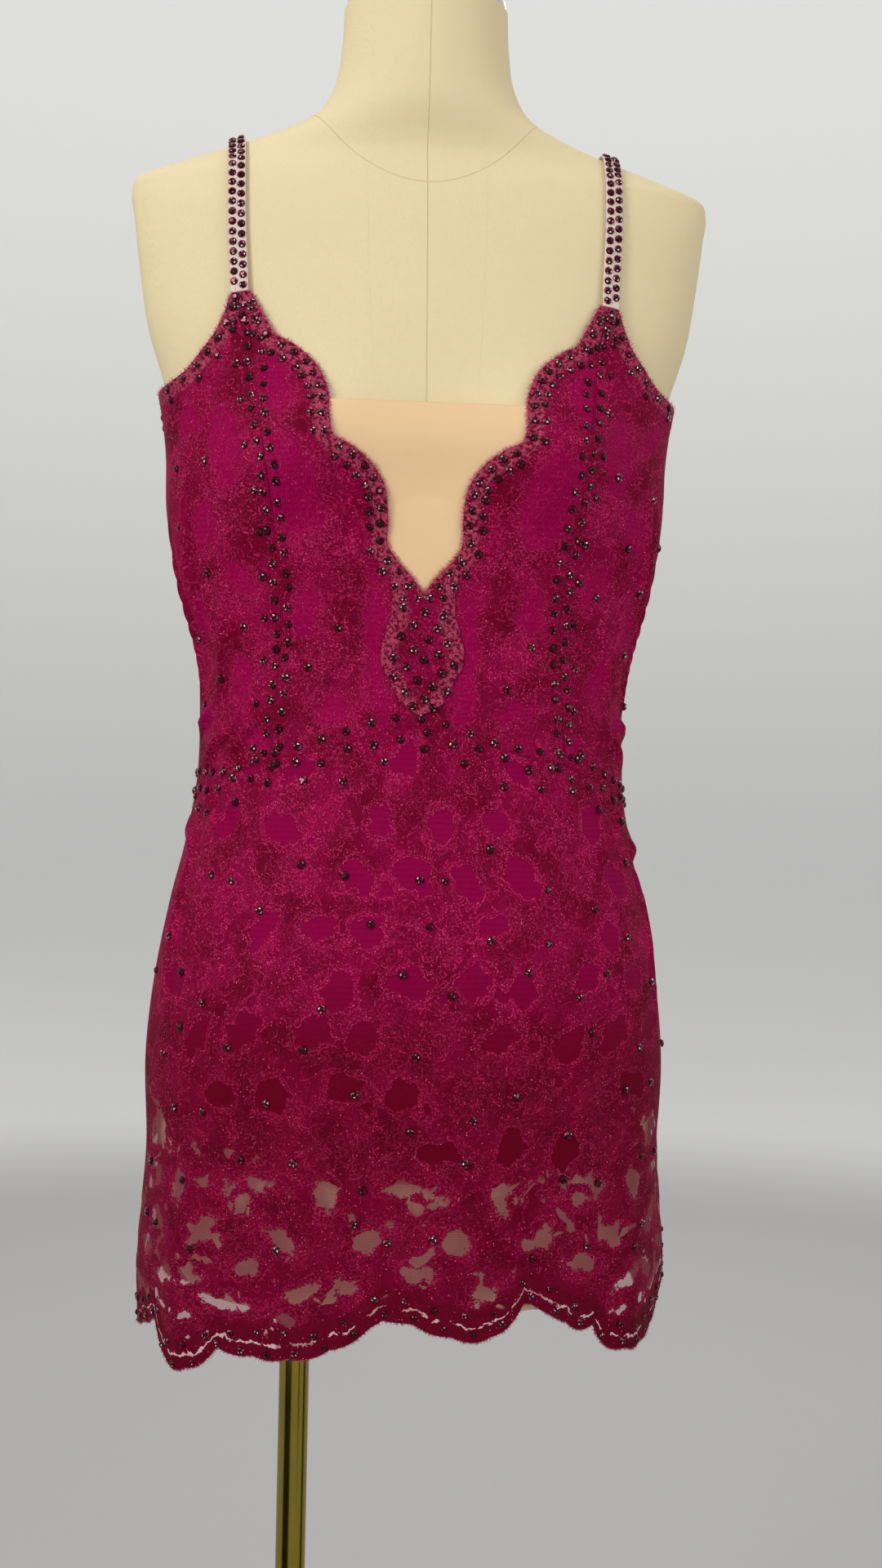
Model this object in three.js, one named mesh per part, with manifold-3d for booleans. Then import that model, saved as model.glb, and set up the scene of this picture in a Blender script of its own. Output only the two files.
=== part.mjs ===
// A short lyrical dance dress with thin straps, worn by a limbless dress form on a pole stand.
// Millimetres, +Z up. The origin is on the floor under the form. The dress faces -Y, and +X is
// the viewer's right. Angles round the body start at the centre front and grow towards +X.
import * as THREE from 'three';
import { mergeVertices } from 'three/addons/utils/BufferGeometryUtils.js';
import Module from 'manifold-3d';

const wasm = await Module();
wasm.setup();

const degrees = THREE.MathUtils.degToRad;
const mix = THREE.MathUtils.lerp;

// Driving sizes of the cloth
const laceWall = 1.2;
const liningWall = 1.0;
const meshWall = 1.0;
const layerGap = 0.5;
const liningGap = 1.0;
const seamGap = 0.3;
const waistSeamGap = 0.8;
const strapWidth = 12.5;
const strapWall = 1.4;

// Driving sizes of the dress, as heights above the floor and reaches from the centre line
const strapPointHeight = 1372;
const strapPointInner = 124;
const princessTop = 130.5;
const strapPointOuter = 137;
const vPointHeight = 1160;
const waistPeakHeight = 1069;
const modestyTopHeight = 1291;
const appliqueTipHeight = 1077;
const appliqueTopHeight = 1156;

// Driving sizes of the form and its stand
const formBottomHeight = 662;
const neckTopHeight = 1600;
const capDome = 15;
const poleRadius = 11;
const poleReach = -77;
const socketRadius = 14;
const socketLength = 56;
const footRadius = 32;
const footHeight = 10;
const footBevel = 8;
const baseRadius = 205;
const baseHeight = 14;
const baseEdge = 4;

// Cross-sections of the dress: half the width, reach to the front and to the back, and how square
const dressSections = [
  { height: 600, half: 188, front: 127, back: 130, square: 2.3 },
  { height: 645, half: 189, front: 126, back: 130, square: 2.3 },
  { height: 680, half: 191, front: 125, back: 130, square: 2.3 },
  { height: 715, half: 190, front: 124, back: 129, square: 2.3 },
  { height: 764, half: 188, front: 122, back: 130, square: 2.3 },
  { height: 830, half: 190, front: 121, back: 131, square: 2.3 },
  { height: 885, half: 185, front: 119, back: 127, square: 2.3 },
  { height: 945, half: 174, front: 114, back: 118, square: 2.3 },
  { height: 982, half: 165, front: 109, back: 109, square: 2.3 },
  { height: 1030, half: 157, front: 101, back: 98, square: 2.3 },
  { height: 1085, half: 156, front: 97, back: 92, square: 2.3 },
  { height: 1127, half: 159, front: 97, back: 93, square: 2.3 },
  { height: 1187, half: 176, front: 100, back: 102, square: 2.3 },
  { height: 1224, half: 183, front: 101, back: 107, square: 2.3 },
  { height: 1272, half: 185, front: 99, back: 112, square: 2.3 },
  { height: 1315, half: 192, front: 90, back: 113, square: 2.3 },
  { height: 1358, half: 204, front: 82, back: 110, square: 2.3 },
  { height: 1400, half: 211, front: 74, back: 104, square: 2.3 },
];

// Cross-sections of the dress form
const formSections = [
  { height: 662, half: 150, front: 92, back: 96, square: 2.2 },
  { height: 668, half: 158, front: 99, back: 103, square: 2.2 },
  { height: 700, half: 168, front: 107, back: 113, square: 2.2 },
  { height: 760, half: 179, front: 114, back: 122, square: 2.3 },
  { height: 830, half: 184, front: 115, back: 125, square: 2.3 },
  { height: 885, half: 180, front: 114, back: 122, square: 2.3 },
  { height: 945, half: 169, front: 109, back: 113, square: 2.3 },
  { height: 982, half: 160, front: 104, back: 104, square: 2.3 },
  { height: 1030, half: 152, front: 96, back: 93, square: 2.3 },
  { height: 1085, half: 151, front: 92, back: 87, square: 2.3 },
  { height: 1127, half: 154, front: 92, back: 88, square: 2.3 },
  { height: 1187, half: 171, front: 95, back: 97, square: 2.3 },
  { height: 1224, half: 178, front: 96, back: 102, square: 2.3 },
  { height: 1272, half: 179, front: 93, back: 106, square: 2.3 },
  { height: 1315, half: 186, front: 84, back: 108, square: 2.3 },
  { height: 1358, half: 199, front: 77, back: 105, square: 2.3 },
  { height: 1400, half: 206, front: 69, back: 99, square: 2.3 },
  { height: 1440, half: 211, front: 61, back: 91, square: 2.3 },
  { height: 1458, half: 213, front: 56, back: 85, square: 2.2 },
  { height: 1468, half: 209, front: 52, back: 80, square: 2.2 },
  { height: 1477, half: 188, front: 48, back: 75, square: 2.1 },
  { height: 1487, half: 160, front: 46, back: 70, square: 2.0 },
  { height: 1496, half: 132, front: 48, back: 67, square: 2.0 },
  { height: 1506, half: 105, front: 52, back: 65, square: 2.0 },
  { height: 1518, half: 83, front: 56, back: 63, square: 2.0 },
  { height: 1540, half: 68, front: 57, back: 60, square: 2.0 },
  { height: 1572, half: 62, front: 57, back: 58, square: 2.0 },
  { height: 1600, half: 60.5, front: 57, back: 57, square: 2.0 },
];

// The bust of the form: reach of each point from the centre line, height, depth and spread
const bust = { reach: 88, height: 1262, depth: 25, spread: 50 };

// Soft folds of the cloth: place and width round the body, the heights they run between, rise
const folds = [
  { angle: 57, width: 5, low: 1080, high: 1212, rise: 2.4 },
  { angle: 71, width: 4, low: 1098, high: 1240, rise: 3.2 },
  { angle: -60, width: 5, low: 1072, high: 1226, rise: 3.0 },
  { angle: -73, width: 4, low: 1104, high: 1232, rise: 2.6 },
  { angle: 113, width: 5, low: 1084, high: 1222, rise: 2.6 },
  { angle: 131, width: 6, low: 1068, high: 1176, rise: 2.2 },
  { angle: -111, width: 5, low: 1090, high: 1208, rise: 2.8 },
  { angle: -136, width: 6, low: 1070, high: 1190, rise: 2.0 },
  { angle: 50, width: 8, low: 520, high: 790, rise: 5.0 },
  { angle: -51, width: 8, low: 520, high: 812, rise: 6.0 },
  { angle: 15, width: 7, low: 520, high: 742, rise: 2.6 },
  { angle: -22, width: 8, low: 520, high: 764, rise: 3.0 },
  { angle: 82, width: 7, low: 520, high: 800, rise: 3.4 },
  { angle: -84, width: 8, low: 520, high: 780, rise: 3.0 },
  { angle: 117, width: 8, low: 520, high: 806, rise: 5.0 },
  { angle: -120, width: 8, low: 520, high: 790, rise: 4.4 },
  { angle: 152, width: 8, low: 520, high: 770, rise: 4.0 },
  { angle: -156, width: 9, low: 520, high: 800, rise: 4.6 },
];

// The front half of the V neckline from its point to the strap point, with its three scallops
const neckEdge = [
  { reach: 0, height: vPointHeight },
  { reach: 9, height: 1172 },
  { reach: 19, height: 1183 },
  { reach: 26, height: 1194 },
  { reach: 26, height: 1212 },
  { reach: 29, height: 1233 },
  { reach: 39, height: 1248 },
  { reach: 52, height: 1258 },
  { reach: 65, height: 1265 },
  { reach: 68, height: 1281 },
  { reach: 69, height: 1298 },
  { reach: 78, height: 1318 },
  { reach: 94, height: 1333 },
  { reach: 106, height: 1340 },
  { reach: 113, height: 1352 },
  { reach: strapPointInner, height: strapPointHeight },
];

// The princess seam from the waist to the strap point
const princessSeam = [
  { reach: 104, height: 1043.5 },
  { reach: 100, height: 1088 },
  { reach: 97.5, height: 1128 },
  { reach: 98, height: 1160 },
  { reach: 104, height: 1205 },
  { reach: 112, height: 1255 },
  { reach: 117.5, height: 1300 },
  { reach: 122.5, height: 1342 },
  { reach: princessTop, height: strapPointHeight },
];

// The armhole edge from the strap point to the side seam
const armholeEdge = [
  { reach: princessTop, height: strapPointHeight },
  { reach: strapPointOuter, height: 1370 },
  { reach: 141.5, height: 1357 },
  { reach: 148, height: 1343 },
  { reach: 158, height: 1330 },
  { reach: 169, height: 1318 },
  { reach: 181, height: 1312 },
  { reach: 190.5, height: 1309 },
];
const armpitHeight = 1309;

// The waist seam, half of it: raised to a low peak at the centre front
const waistSeam = [
  { angle: 0, height: waistPeakHeight },
  { angle: 9, height: 1065.5 },
  { angle: 17, height: 1057.5 },
  { angle: 25, height: 1051.5 },
  { angle: 40, height: 1043.5 },
  { angle: 54, height: 1033 },
  { angle: 70, height: 1027.5 },
  { angle: 90, height: 1026 },
  { angle: 135, height: 1029 },
  { angle: 180, height: 1031 },
];

// The top edge of the back, half of it: a scoop with a point for the strap
const backEdge = [
  { angle: 90, height: armpitHeight },
  { angle: 102, height: 1296 },
  { angle: 118, height: 1284 },
  { angle: 134, height: 1277 },
  { angle: 142, height: 1276 },
  { angle: 152, height: 1256 },
  { angle: 164, height: 1236 },
  { angle: 180, height: 1228 },
];

// The lower edge of the skirt's lining, half of it
const liningEdge = [
  { angle: 0, height: 759 },
  { angle: 26, height: 764 },
  { angle: 40, height: 783 },
  { angle: 50, height: 801 },
  { angle: 90, height: 815 },
  { angle: 130, height: 800 },
  { angle: 180, height: 768 },
];

// The scallops of the hem: where each begins, the height of that notch, the height of the
// scallop's lowest point, and how far along it that point lies
const hemScallops = [
  { from: -180, notch: 664, belly: 640, lean: 0.5 },
  { from: -147, notch: 662, belly: 638, lean: 0.5 },
  { from: -114, notch: 660, belly: 637, lean: 0.5 },
  { from: -64, notch: 651, belly: 624, lean: 0.5 },
  { from: -41, notch: 643, belly: 640, lean: 0.3 },
  { from: -6, notch: 669, belly: 654.5, lean: 0.64 },
  { from: 23, notch: 678, belly: 657, lean: 0.82 },
  { from: 40, notch: 658, belly: 637, lean: 0.3 },
  { from: 84, notch: 688, belly: 646, lean: 0.56 },
  { from: 116, notch: 662, belly: 638, lean: 0.5 },
  { from: 148, notch: 660, belly: 640, lean: 0.5 },
  { from: 180, notch: 664, belly: 640, lean: 0.5 },
];
const hemBorder = 24;

// The openwork of the lace, as one repeat: place from the repeat's centre line, height, length,
// width and tilt of each opening
const openworkRepeats = 10;
const openwork = [
  { turn: 0, height: 744, long: 15, wide: 15, tilt: 0 },
  { turn: -9, height: 722, long: 25, wide: 13, tilt: 35 },
  { turn: 9, height: 720, long: 25, wide: 13, tilt: -35 },
  { turn: 1, height: 700, long: 19, wide: 12, tilt: 8 },
  { turn: -13, height: 690, long: 21, wide: 11, tilt: -24 },
  { turn: 14, height: 686, long: 21, wide: 11, tilt: 24 },
  { turn: 18, height: 750, long: 23, wide: 13, tilt: 75 },
];

// Half the applique's width below the point of the V, and how its top follows the V
const appliqueOutline = [
  { height: appliqueTipHeight, half: 2 },
  { height: 1083, half: 12 },
  { height: 1096, half: 20 },
  { height: 1109, half: 28 },
  { height: 1118, half: 27 },
  { height: 1136, half: 21 },
  { height: appliqueTopHeight, half: 24 },
];
const appliqueRise = 1.15;

// Where a strap lies: its turn over the shoulder, its reach and its height above the form
const strapCourse = [
  { turn: 27.3, reach: 130.5, clear: 4.4 },
  { turn: 40, reach: 131.5, clear: 3.2 },
  { turn: 60, reach: 134, clear: 2.6 },
  { turn: 90, reach: 136, clear: 2.6 },
  { turn: 115, reach: 132.5, clear: 3.6 },
  { turn: 140, reach: 127, clear: 3.2 },
  { turn: 180, reach: 114, clear: 2.8 },
  { turn: 218.85, reach: 97, clear: 4.9 },
];
const strapTurnCentre = 1340;
const strapSteps = 26;

const finishes = {
  lace: new THREE.MeshStandardMaterial({ color: 0x7c1240, roughness: 0.75, metalness: 0 }),
  lining: new THREE.MeshStandardMaterial({ color: 0x96104a, roughness: 0.6, metalness: 0 }),
  nudeMesh: new THREE.MeshStandardMaterial({ color: 0xe3c297, roughness: 0.8, metalness: 0 }),
  elastic: new THREE.MeshStandardMaterial({ color: 0xe8cfc4, roughness: 0.7, metalness: 0 }),
  formCloth: new THREE.MeshStandardMaterial({ color: 0xe2d0aa, roughness: 0.9, metalness: 0 }),
  chrome: new THREE.MeshStandardMaterial({ color: 0xc8ccd2, roughness: 0.15, metalness: 1 }),
  brass: new THREE.MeshStandardMaterial({ color: 0x9c8436, roughness: 0.25, metalness: 1 }),
  blackMetal: new THREE.MeshStandardMaterial({ color: 0x141416, roughness: 0.5, metalness: 0.4 }),
};

// A smooth curve through one column of a table
function smooth(table, along, column) {
  const places = table.map((row) => row[along]);
  const values = table.map((row) => row[column]);
  const curve = new THREE.CubicInterpolant(places, values, 1);
  return (place) => curve.evaluate(THREE.MathUtils.clamp(place, places[0], places.at(-1)))[0];
}

function sectionReader(table) {
  const half = smooth(table, 'height', 'half');
  const front = smooth(table, 'height', 'front');
  const back = smooth(table, 'height', 'back');
  const square = smooth(table, 'height', 'square');
  return (height) => ({
    half: half(height),
    front: front(height),
    back: back(height),
    square: square(height),
  });
}

const dressSection = sectionReader(dressSections);
const formSection = sectionReader(formSections);
const waistHeight = smooth(waistSeam, 'angle', 'height');
const backHeight = smooth(backEdge, 'angle', 'height');
const liningHeight = smooth(liningEdge, 'angle', 'height');
const appliqueHalf = smooth(appliqueOutline, 'height', 'half');
const strapReach = smooth(strapCourse, 'turn', 'reach');
const strapClear = smooth(strapCourse, 'turn', 'clear');

function bustDepth(reach, height) {
  const sideways = (Math.abs(reach) - bust.reach) / bust.spread;
  const upwards = (height - bust.height) / bust.spread;
  return bust.depth * Math.exp(-(sideways ** 2) - upwards ** 2);
}

// A point of a section's outline, before any fold
function outline(section, angle, height) {
  const { half, front, back, square } = section(height);
  const side = Math.sin(angle);
  const fore = Math.cos(angle);
  const size = (Math.abs(side) ** square + Math.abs(fore) ** square) ** (-1 / square);
  const reach = half * side * size;
  const frontShare = Math.min(1, Math.max(0, 2 * fore));
  const depth = (fore > 0 ? front : back) * fore * size;
  return new THREE.Vector3(reach, -depth - frontShare * bustDepth(reach, height), height);
}

// How far the folds lift the cloth at a place
function foldRise(angle, height) {
  let rise = 0;
  for (const fold of folds) {
    const away = (THREE.MathUtils.radToDeg(angle) - fold.angle + 540) % 360 - 180;
    const along = THREE.MathUtils.clamp((height - fold.low) / (fold.high - fold.low), 0, 1);
    rise += fold.rise * Math.exp(-((away / fold.width) ** 2)) * Math.sin(Math.PI * along) ** 2;
  }
  return rise;
}

function outward(section, angle, height) {
  const step = 0.01;
  const round = outline(section, angle + step, height).sub(outline(section, angle - step, height));
  const up = outline(section, angle, height + 1).sub(outline(section, angle, height - 1));
  return round.cross(up).normalize();
}

// A point of the dress, raised or lowered from its outer face by a lift
function dressPoint(angle, height, lift = 0) {
  const normal = outward(dressSection, angle, height);
  const rise = foldRise(angle, height) + lift;
  return outline(dressSection, angle, height).addScaledVector(normal, rise);
}

// The angle at which the front of the dress has a given reach from the centre line
function angleAt(reach, height) {
  let low = 0;
  let high = Math.PI / 2;
  for (let pass = 0; pass < 40; pass += 1) {
    const middle = (low + high) / 2;
    if (outline(dressSection, middle, height).x < reach) low = middle;
    else high = middle;
  }
  return (low + high) / 2;
}

// An edge given as reaches and heights, as a curve of equal steps
function edgeCurve(table) {
  const curve = new THREE.SplineCurve(table.map((row) => new THREE.Vector2(row.reach, row.height)));
  return (share) => curve.getPointAt(share);
}

function named(name, finish, geometry) {
  const mesh = new THREE.Mesh(geometry, finishes[finish]);
  mesh.name = name;
  return mesh;
}

// A closed wall over a grid: surface(share across, share up, lift) gives its points
function wall(name, finish, surface, across, up, thickness, lift = 0) {
  const points = [];
  const faces = [];
  const rowLength = across.length;
  const layer = rowLength * up.length;
  for (const depth of [lift, lift - thickness]) {
    for (const rise of up) {
      for (const share of across) points.push(surface(share, rise, depth));
    }
  }
  const quad = (a, b, c, d) => faces.push(a, b, c, a, c, d);
  for (let row = 0; row < up.length - 1; row += 1) {
    for (let column = 0; column < rowLength - 1; column += 1) {
      const corner = row * rowLength + column;
      quad(corner, corner + 1, corner + 1 + rowLength, corner + rowLength);
      quad(layer + corner, layer + corner + rowLength, layer + corner + 1 + rowLength, layer + corner + 1);
    }
  }
  const top = (up.length - 1) * rowLength;
  for (let column = 0; column < rowLength - 1; column += 1) {
    quad(column + 1, column, layer + column, layer + column + 1);
    quad(top + column, top + column + 1, layer + top + column + 1, layer + top + column);
  }
  for (let row = 0; row < up.length - 1; row += 1) {
    const left = row * rowLength;
    const right = left + rowLength - 1;
    quad(left, left + rowLength, layer + left + rowLength, layer + left);
    quad(right + rowLength, right, layer + right, layer + right + rowLength);
  }
  const geometry = new THREE.BufferGeometry();
  geometry.setAttribute('position', new THREE.Float32BufferAttribute(points.flatMap((p) => p.toArray()), 3));
  geometry.setIndex(faces);
  return named(name, finish, geometry);
}

// Equal steps from 0 to 1
function steps(count) {
  return Array.from({ length: count + 1 }, (unused, step) => step / count);
}

// A patch between four edges, each giving an angle (x) and a height (y)
function patchBetween(left, right, bottom, top) {
  return (across, up) => {
    const sides = left(up).multiplyScalar(1 - across).addScaledVector(right(up), across);
    const ends = bottom(across).multiplyScalar(1 - up).addScaledVector(top(across), up);
    const corners = left(0).multiplyScalar((1 - across) * (1 - up));
    corners.addScaledVector(right(0), across * (1 - up));
    corners.addScaledVector(left(1), (1 - across) * up);
    corners.addScaledVector(right(1), across * up);
    return sides.add(ends).sub(corners);
  };
}

function onDress(patch, mirror) {
  return (across, up, lift) => {
    const place = patch(mirror > 0 ? across : 1 - across, up);
    return dressPoint(mirror * place.x, place.y, lift);
  };
}

const asPlace = (reach, height) => new THREE.Vector2(angleAt(reach, height), height);
const seamRadius = 150;
const halfGapAngle = seamGap / 2 / seamRadius;

// The front of the bodice: centre panels with the V neckline, side panels with the armholes
const neckCurve = edgeCurve(neckEdge);
const princessCurve = edgeCurve(princessSeam);
const armholeCurve = edgeCurve(armholeEdge);
const bodiceRows = 20;
const seamShare = 0.25;
const princessAngle = angleAt(princessSeam[0].reach, princessSeam[0].height);

function waistPlace(angle) {
  return new THREE.Vector2(angle, waistHeight(THREE.MathUtils.radToDeg(angle)) + waistSeamGap / 2);
}

function centreEdge(up) {
  if (up <= seamShare) {
    const low = waistPeakHeight + waistSeamGap / 2;
    return new THREE.Vector2(halfGapAngle * 1.5, mix(low, vPointHeight, up / seamShare));
  }
  const point = neckCurve((up - seamShare) / (1 - seamShare));
  return asPlace(Math.max(point.x, seamGap / 2), point.y);
}

function princessEdge(side) {
  return (up) => {
    const point = princessCurve(up);
    return asPlace(point.x + side * seamGap / 2, mix(point.y + waistSeamGap / 2, point.y, up));
  };
}

const centrePatch = patchBetween(
  centreEdge,
  princessEdge(-1),
  (across) => waistPlace(mix(halfGapAngle * 1.5, princessAngle - halfGapAngle, across)),
  (across) => asPlace(mix(strapPointInner, princessTop - seamGap / 2, across), strapPointHeight),
);

const sideSeamAngle = Math.PI / 2 - halfGapAngle;

const sidePatch = patchBetween(
  princessEdge(1),
  (up) => new THREE.Vector2(sideSeamAngle, mix(waistPlace(sideSeamAngle).y, armpitHeight, up)),
  (across) => waistPlace(mix(princessAngle + halfGapAngle, sideSeamAngle, across)),
  (across) => {
    const point = armholeCurve(across);
    const place = asPlace(point.x + seamGap / 2, point.y);
    return place.setX(across === 1 ? sideSeamAngle : Math.min(place.x, sideSeamAngle));
  },
);

function bodiceFront(mirror, side) {
  const rows = steps(bodiceRows);
  return [
    wall(`bodice_front_centre_${side}`, 'lace', onDress(centrePatch, mirror), steps(6), rows, laceWall),
    wall(`bodice_front_side_${side}`, 'lace', onDress(sidePatch, mirror), steps(7), rows, laceWall),
  ];
}

// The back of the bodice, one piece from side seam to side seam
function bodiceBack() {
  const surface = (across, up, lift) => {
    const angle = mix(Math.PI / 2 + halfGapAngle, 1.5 * Math.PI - halfGapAngle, across);
    const turn = 180 - Math.abs(THREE.MathUtils.radToDeg(angle) - 180);
    const height = mix(waistHeight(turn) + waistSeamGap / 2, backHeight(turn), up);
    return dressPoint(angle, height, lift);
  };
  return wall('bodice_back', 'lace', surface, steps(18), steps(9), laceWall);
}

// The nude mesh that fills the V, stretched straight across behind its edges
function modestyPanel() {
  const tuck = 6;
  const lift = -laceWall - liningGap;
  const lowHeight = vPointHeight - 6;
  const neckReach = smooth(neckEdge, 'height', 'reach');
  const slack = 3;
  const surface = (across, up, depth) => {
    const height = mix(lowHeight, modestyTopHeight, up);
    const reach = Math.max(neckReach(height), 3);
    const tucked = dressPoint(angleAt(reach + tuck, height), height, depth);
    const edge = dressPoint(angleAt(reach, height), height, depth);
    const sideways = 2 * across - 1;
    const middle = dressPoint(0, height, depth).y;
    const drawn = Math.min(Math.max(tucked.y, edge.y) + slack * (1 - sideways ** 2), middle);
    return new THREE.Vector3(sideways * tucked.x, drawn, height);
  };
  return wall('modesty_panel', 'nudeMesh', surface, steps(10), steps(7), meshWall, lift);
}

// The scalloped mesh applique below the point of the V, laid on both centre panels
function applique() {
  const lift = layerGap + meshWall;
  const surface = (across, up, depth) => {
    const level = mix(appliqueTipHeight, appliqueTopHeight, up);
    const reach = (2 * across - 1) * appliqueHalf(level);
    const height = level + up ** 2 * appliqueRise * Math.abs(reach);
    return dressPoint(Math.sign(reach) * angleAt(Math.abs(reach), height), height, depth);
  };
  return wall('v_applique', 'lace', surface, steps(6), steps(9), meshWall, lift);
}

// The height of the scalloped hem at an angle in degrees from -180 to 180
function hemHeight(turn) {
  const last = hemScallops.length - 2;
  const index = Math.min(last, hemScallops.findLastIndex((row) => row.from <= turn));
  const scallop = hemScallops[index];
  const next = hemScallops[index + 1];
  const share = (turn - scallop.from) / (next.from - scallop.from);
  const leaned = share ** (Math.log(0.5) / Math.log(scallop.lean));
  const fullness = 1 - Math.abs(2 * leaned - 1) ** 2.2;
  return mix(mix(scallop.notch, next.notch, share), scallop.belly, fullness);
}

// Angles of the skirt's columns between two side seams, with one at each notch of the hem
function skirtColumns(first, last) {
  const gap = THREE.MathUtils.radToDeg(halfGapAngle);
  const width = 7.2;
  const notches = hemScallops.flatMap((row) => [row.from, row.from + 360]);
  const marks = [...new Set(notches)].filter((turn) => turn > first + 2 && turn < last - 2);
  const ends = [first + gap, ...marks.sort((a, b) => a - b), last - gap];
  const columns = [ends[0]];
  for (let index = 1; index < ends.length; index += 1) {
    const count = Math.ceil((ends[index] - ends[index - 1]) / width);
    for (let step = 1; step <= count; step += 1) {
      columns.push(mix(ends[index - 1], ends[index], step / count));
    }
  }
  return columns;
}

const wrapTurn = (turn) => (turn > 180 ? turn - 360 : turn);

function skirtWall(name, first, last) {
  const surface = (turn, up, lift) => {
    const bent = wrapTurn(turn);
    const height = mix(hemHeight(bent), waistHeight(Math.abs(bent)) - waistSeamGap / 2, up);
    return dressPoint(degrees(turn), height, lift);
  };
  const rows = [0, 0.05, 0.11, 0.18, 0.26, 0.35, 0.45, 0.56, 0.67, 0.78, 0.89, 1];
  return wall(name, 'lace', surface, skirtColumns(first, last), rows, laceWall);
}

function toManifold(geometry) {
  geometry.deleteAttribute('normal');
  geometry.deleteAttribute('uv');
  const merged = mergeVertices(geometry, 1e-4);
  return new wasm.Manifold(new wasm.Mesh({
    numProp: 3,
    vertProperties: new Float32Array(merged.attributes.position.array),
    triVerts: new Uint32Array(merged.index.array),
  }));
}

// One opening of the lace as a short oval bar across the wall
function openingBar(turn, hole) {
  const angle = degrees(turn);
  const reach = 4;
  const oval = new THREE.Shape();
  oval.absellipse(0, 0, hole.long / 2, hole.wide / 2, 0, 2 * Math.PI, false, degrees(hole.tilt));
  const bar = new THREE.ExtrudeGeometry(oval, { depth: 2 * reach, bevelEnabled: false, curveSegments: 4 });
  const normal = outward(dressSection, angle, hole.height);
  const level = new THREE.Vector3(0, 0, 1).cross(normal).normalize();
  const upright = normal.clone().cross(level);
  const place = new THREE.Matrix4().makeBasis(level, upright, normal);
  place.setPosition(dressPoint(angle, hole.height, -reach));
  return toManifold(bar.applyMatrix4(place));
}

// The lace skirt in two halves, with its openwork cut through
function skirtHalf(name, first, last) {
  const half = skirtWall(name, first, last);
  const pitch = 360 / openworkRepeats;
  let body = toManifold(half.geometry);
  for (let repeat = 0; repeat < openworkRepeats; repeat += 1) {
    for (const hole of openwork) {
      const turn = wrapTurn(repeat * pitch + hole.turn);
      const seen = turn < first ? turn + 360 : turn;
      const margin = 5;
      const onHalf = seen > first + margin && seen < last - margin;
      const aboveBorder = hole.height > hemHeight(turn) + hemBorder;
      if (onHalf && aboveBorder) body = body.subtract(openingBar(seen, hole));
    }
  }
  const cut = body.getMesh();
  const geometry = new THREE.BufferGeometry();
  geometry.setAttribute('position', new THREE.BufferAttribute(new Float32Array(cut.vertProperties), 3));
  geometry.setIndex(new THREE.BufferAttribute(new Uint32Array(cut.triVerts), 1));
  return named(name, 'lace', geometry);
}

// The smooth lining of the skirt, which shows through the lace and ends above its hem
function liningHalf(name, first, last) {
  const surface = (share, up, lift) => {
    const turn = mix(first, last, share);
    const bent = Math.abs(wrapTurn(turn));
    const height = mix(liningHeight(bent), waistHeight(bent) - waistSeamGap / 2, up);
    const gap = (share - 0.5) * -2 * halfGapAngle;
    return dressPoint(degrees(turn) + gap, height, lift);
  };
  return wall(name, 'lining', surface, steps(18), steps(7), liningWall, -laceWall - liningGap);
}

// Whether a point is inside the form, below 0, on it, at 0, or outside
function formTest(point) {
  const { half, front, back, square } = formSection(point.z);
  const depth = point.y < 0 ? front + bustDepth(point.x, point.z) : back;
  return (Math.abs(point.x) / half) ** square + (Math.abs(point.y) / depth) ** square - 1;
}

// The point of the form's skin seen from a strap's turning centre, raised by a clearance
function strapPoint(reach, turn, clear) {
  const aim = new THREE.Vector3(0, -Math.cos(turn), Math.sin(turn));
  const start = new THREE.Vector3(reach, 0, strapTurnCentre);
  const at = (distance) => start.clone().addScaledVector(aim, distance);
  let near = 0;
  let far = 200;
  for (let pass = 0; pass < 40; pass += 1) {
    const middle = (near + far) / 2;
    if (formTest(at(middle)) < 0) near = middle;
    else far = middle;
  }
  const skin = at(near);
  const slope = new THREE.Vector3();
  for (const axis of ['x', 'y', 'z']) {
    const ahead = skin.clone();
    const behind = skin.clone();
    ahead[axis] += 0.5;
    behind[axis] -= 0.5;
    slope[axis] = formTest(ahead) - formTest(behind);
  }
  return skin.addScaledVector(slope.normalize(), clear);
}

// A strap, a flat band over the shoulder from the front point to the back
function strap(mirror, side) {
  const first = strapCourse[0].turn;
  const last = strapCourse.at(-1).turn;
  const surface = (across, along, lift) => {
    const turn = mix(first, last, along);
    const reach = strapReach(turn) + (across - 0.5) * strapWidth * mirror;
    const point = strapPoint(reach, degrees(turn), strapClear(turn) + lift);
    return point.setX(point.x * mirror);
  };
  return wall(`strap_${side}`, 'elastic', surface, steps(1), steps(strapSteps), strapWall, strapWall);
}

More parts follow.
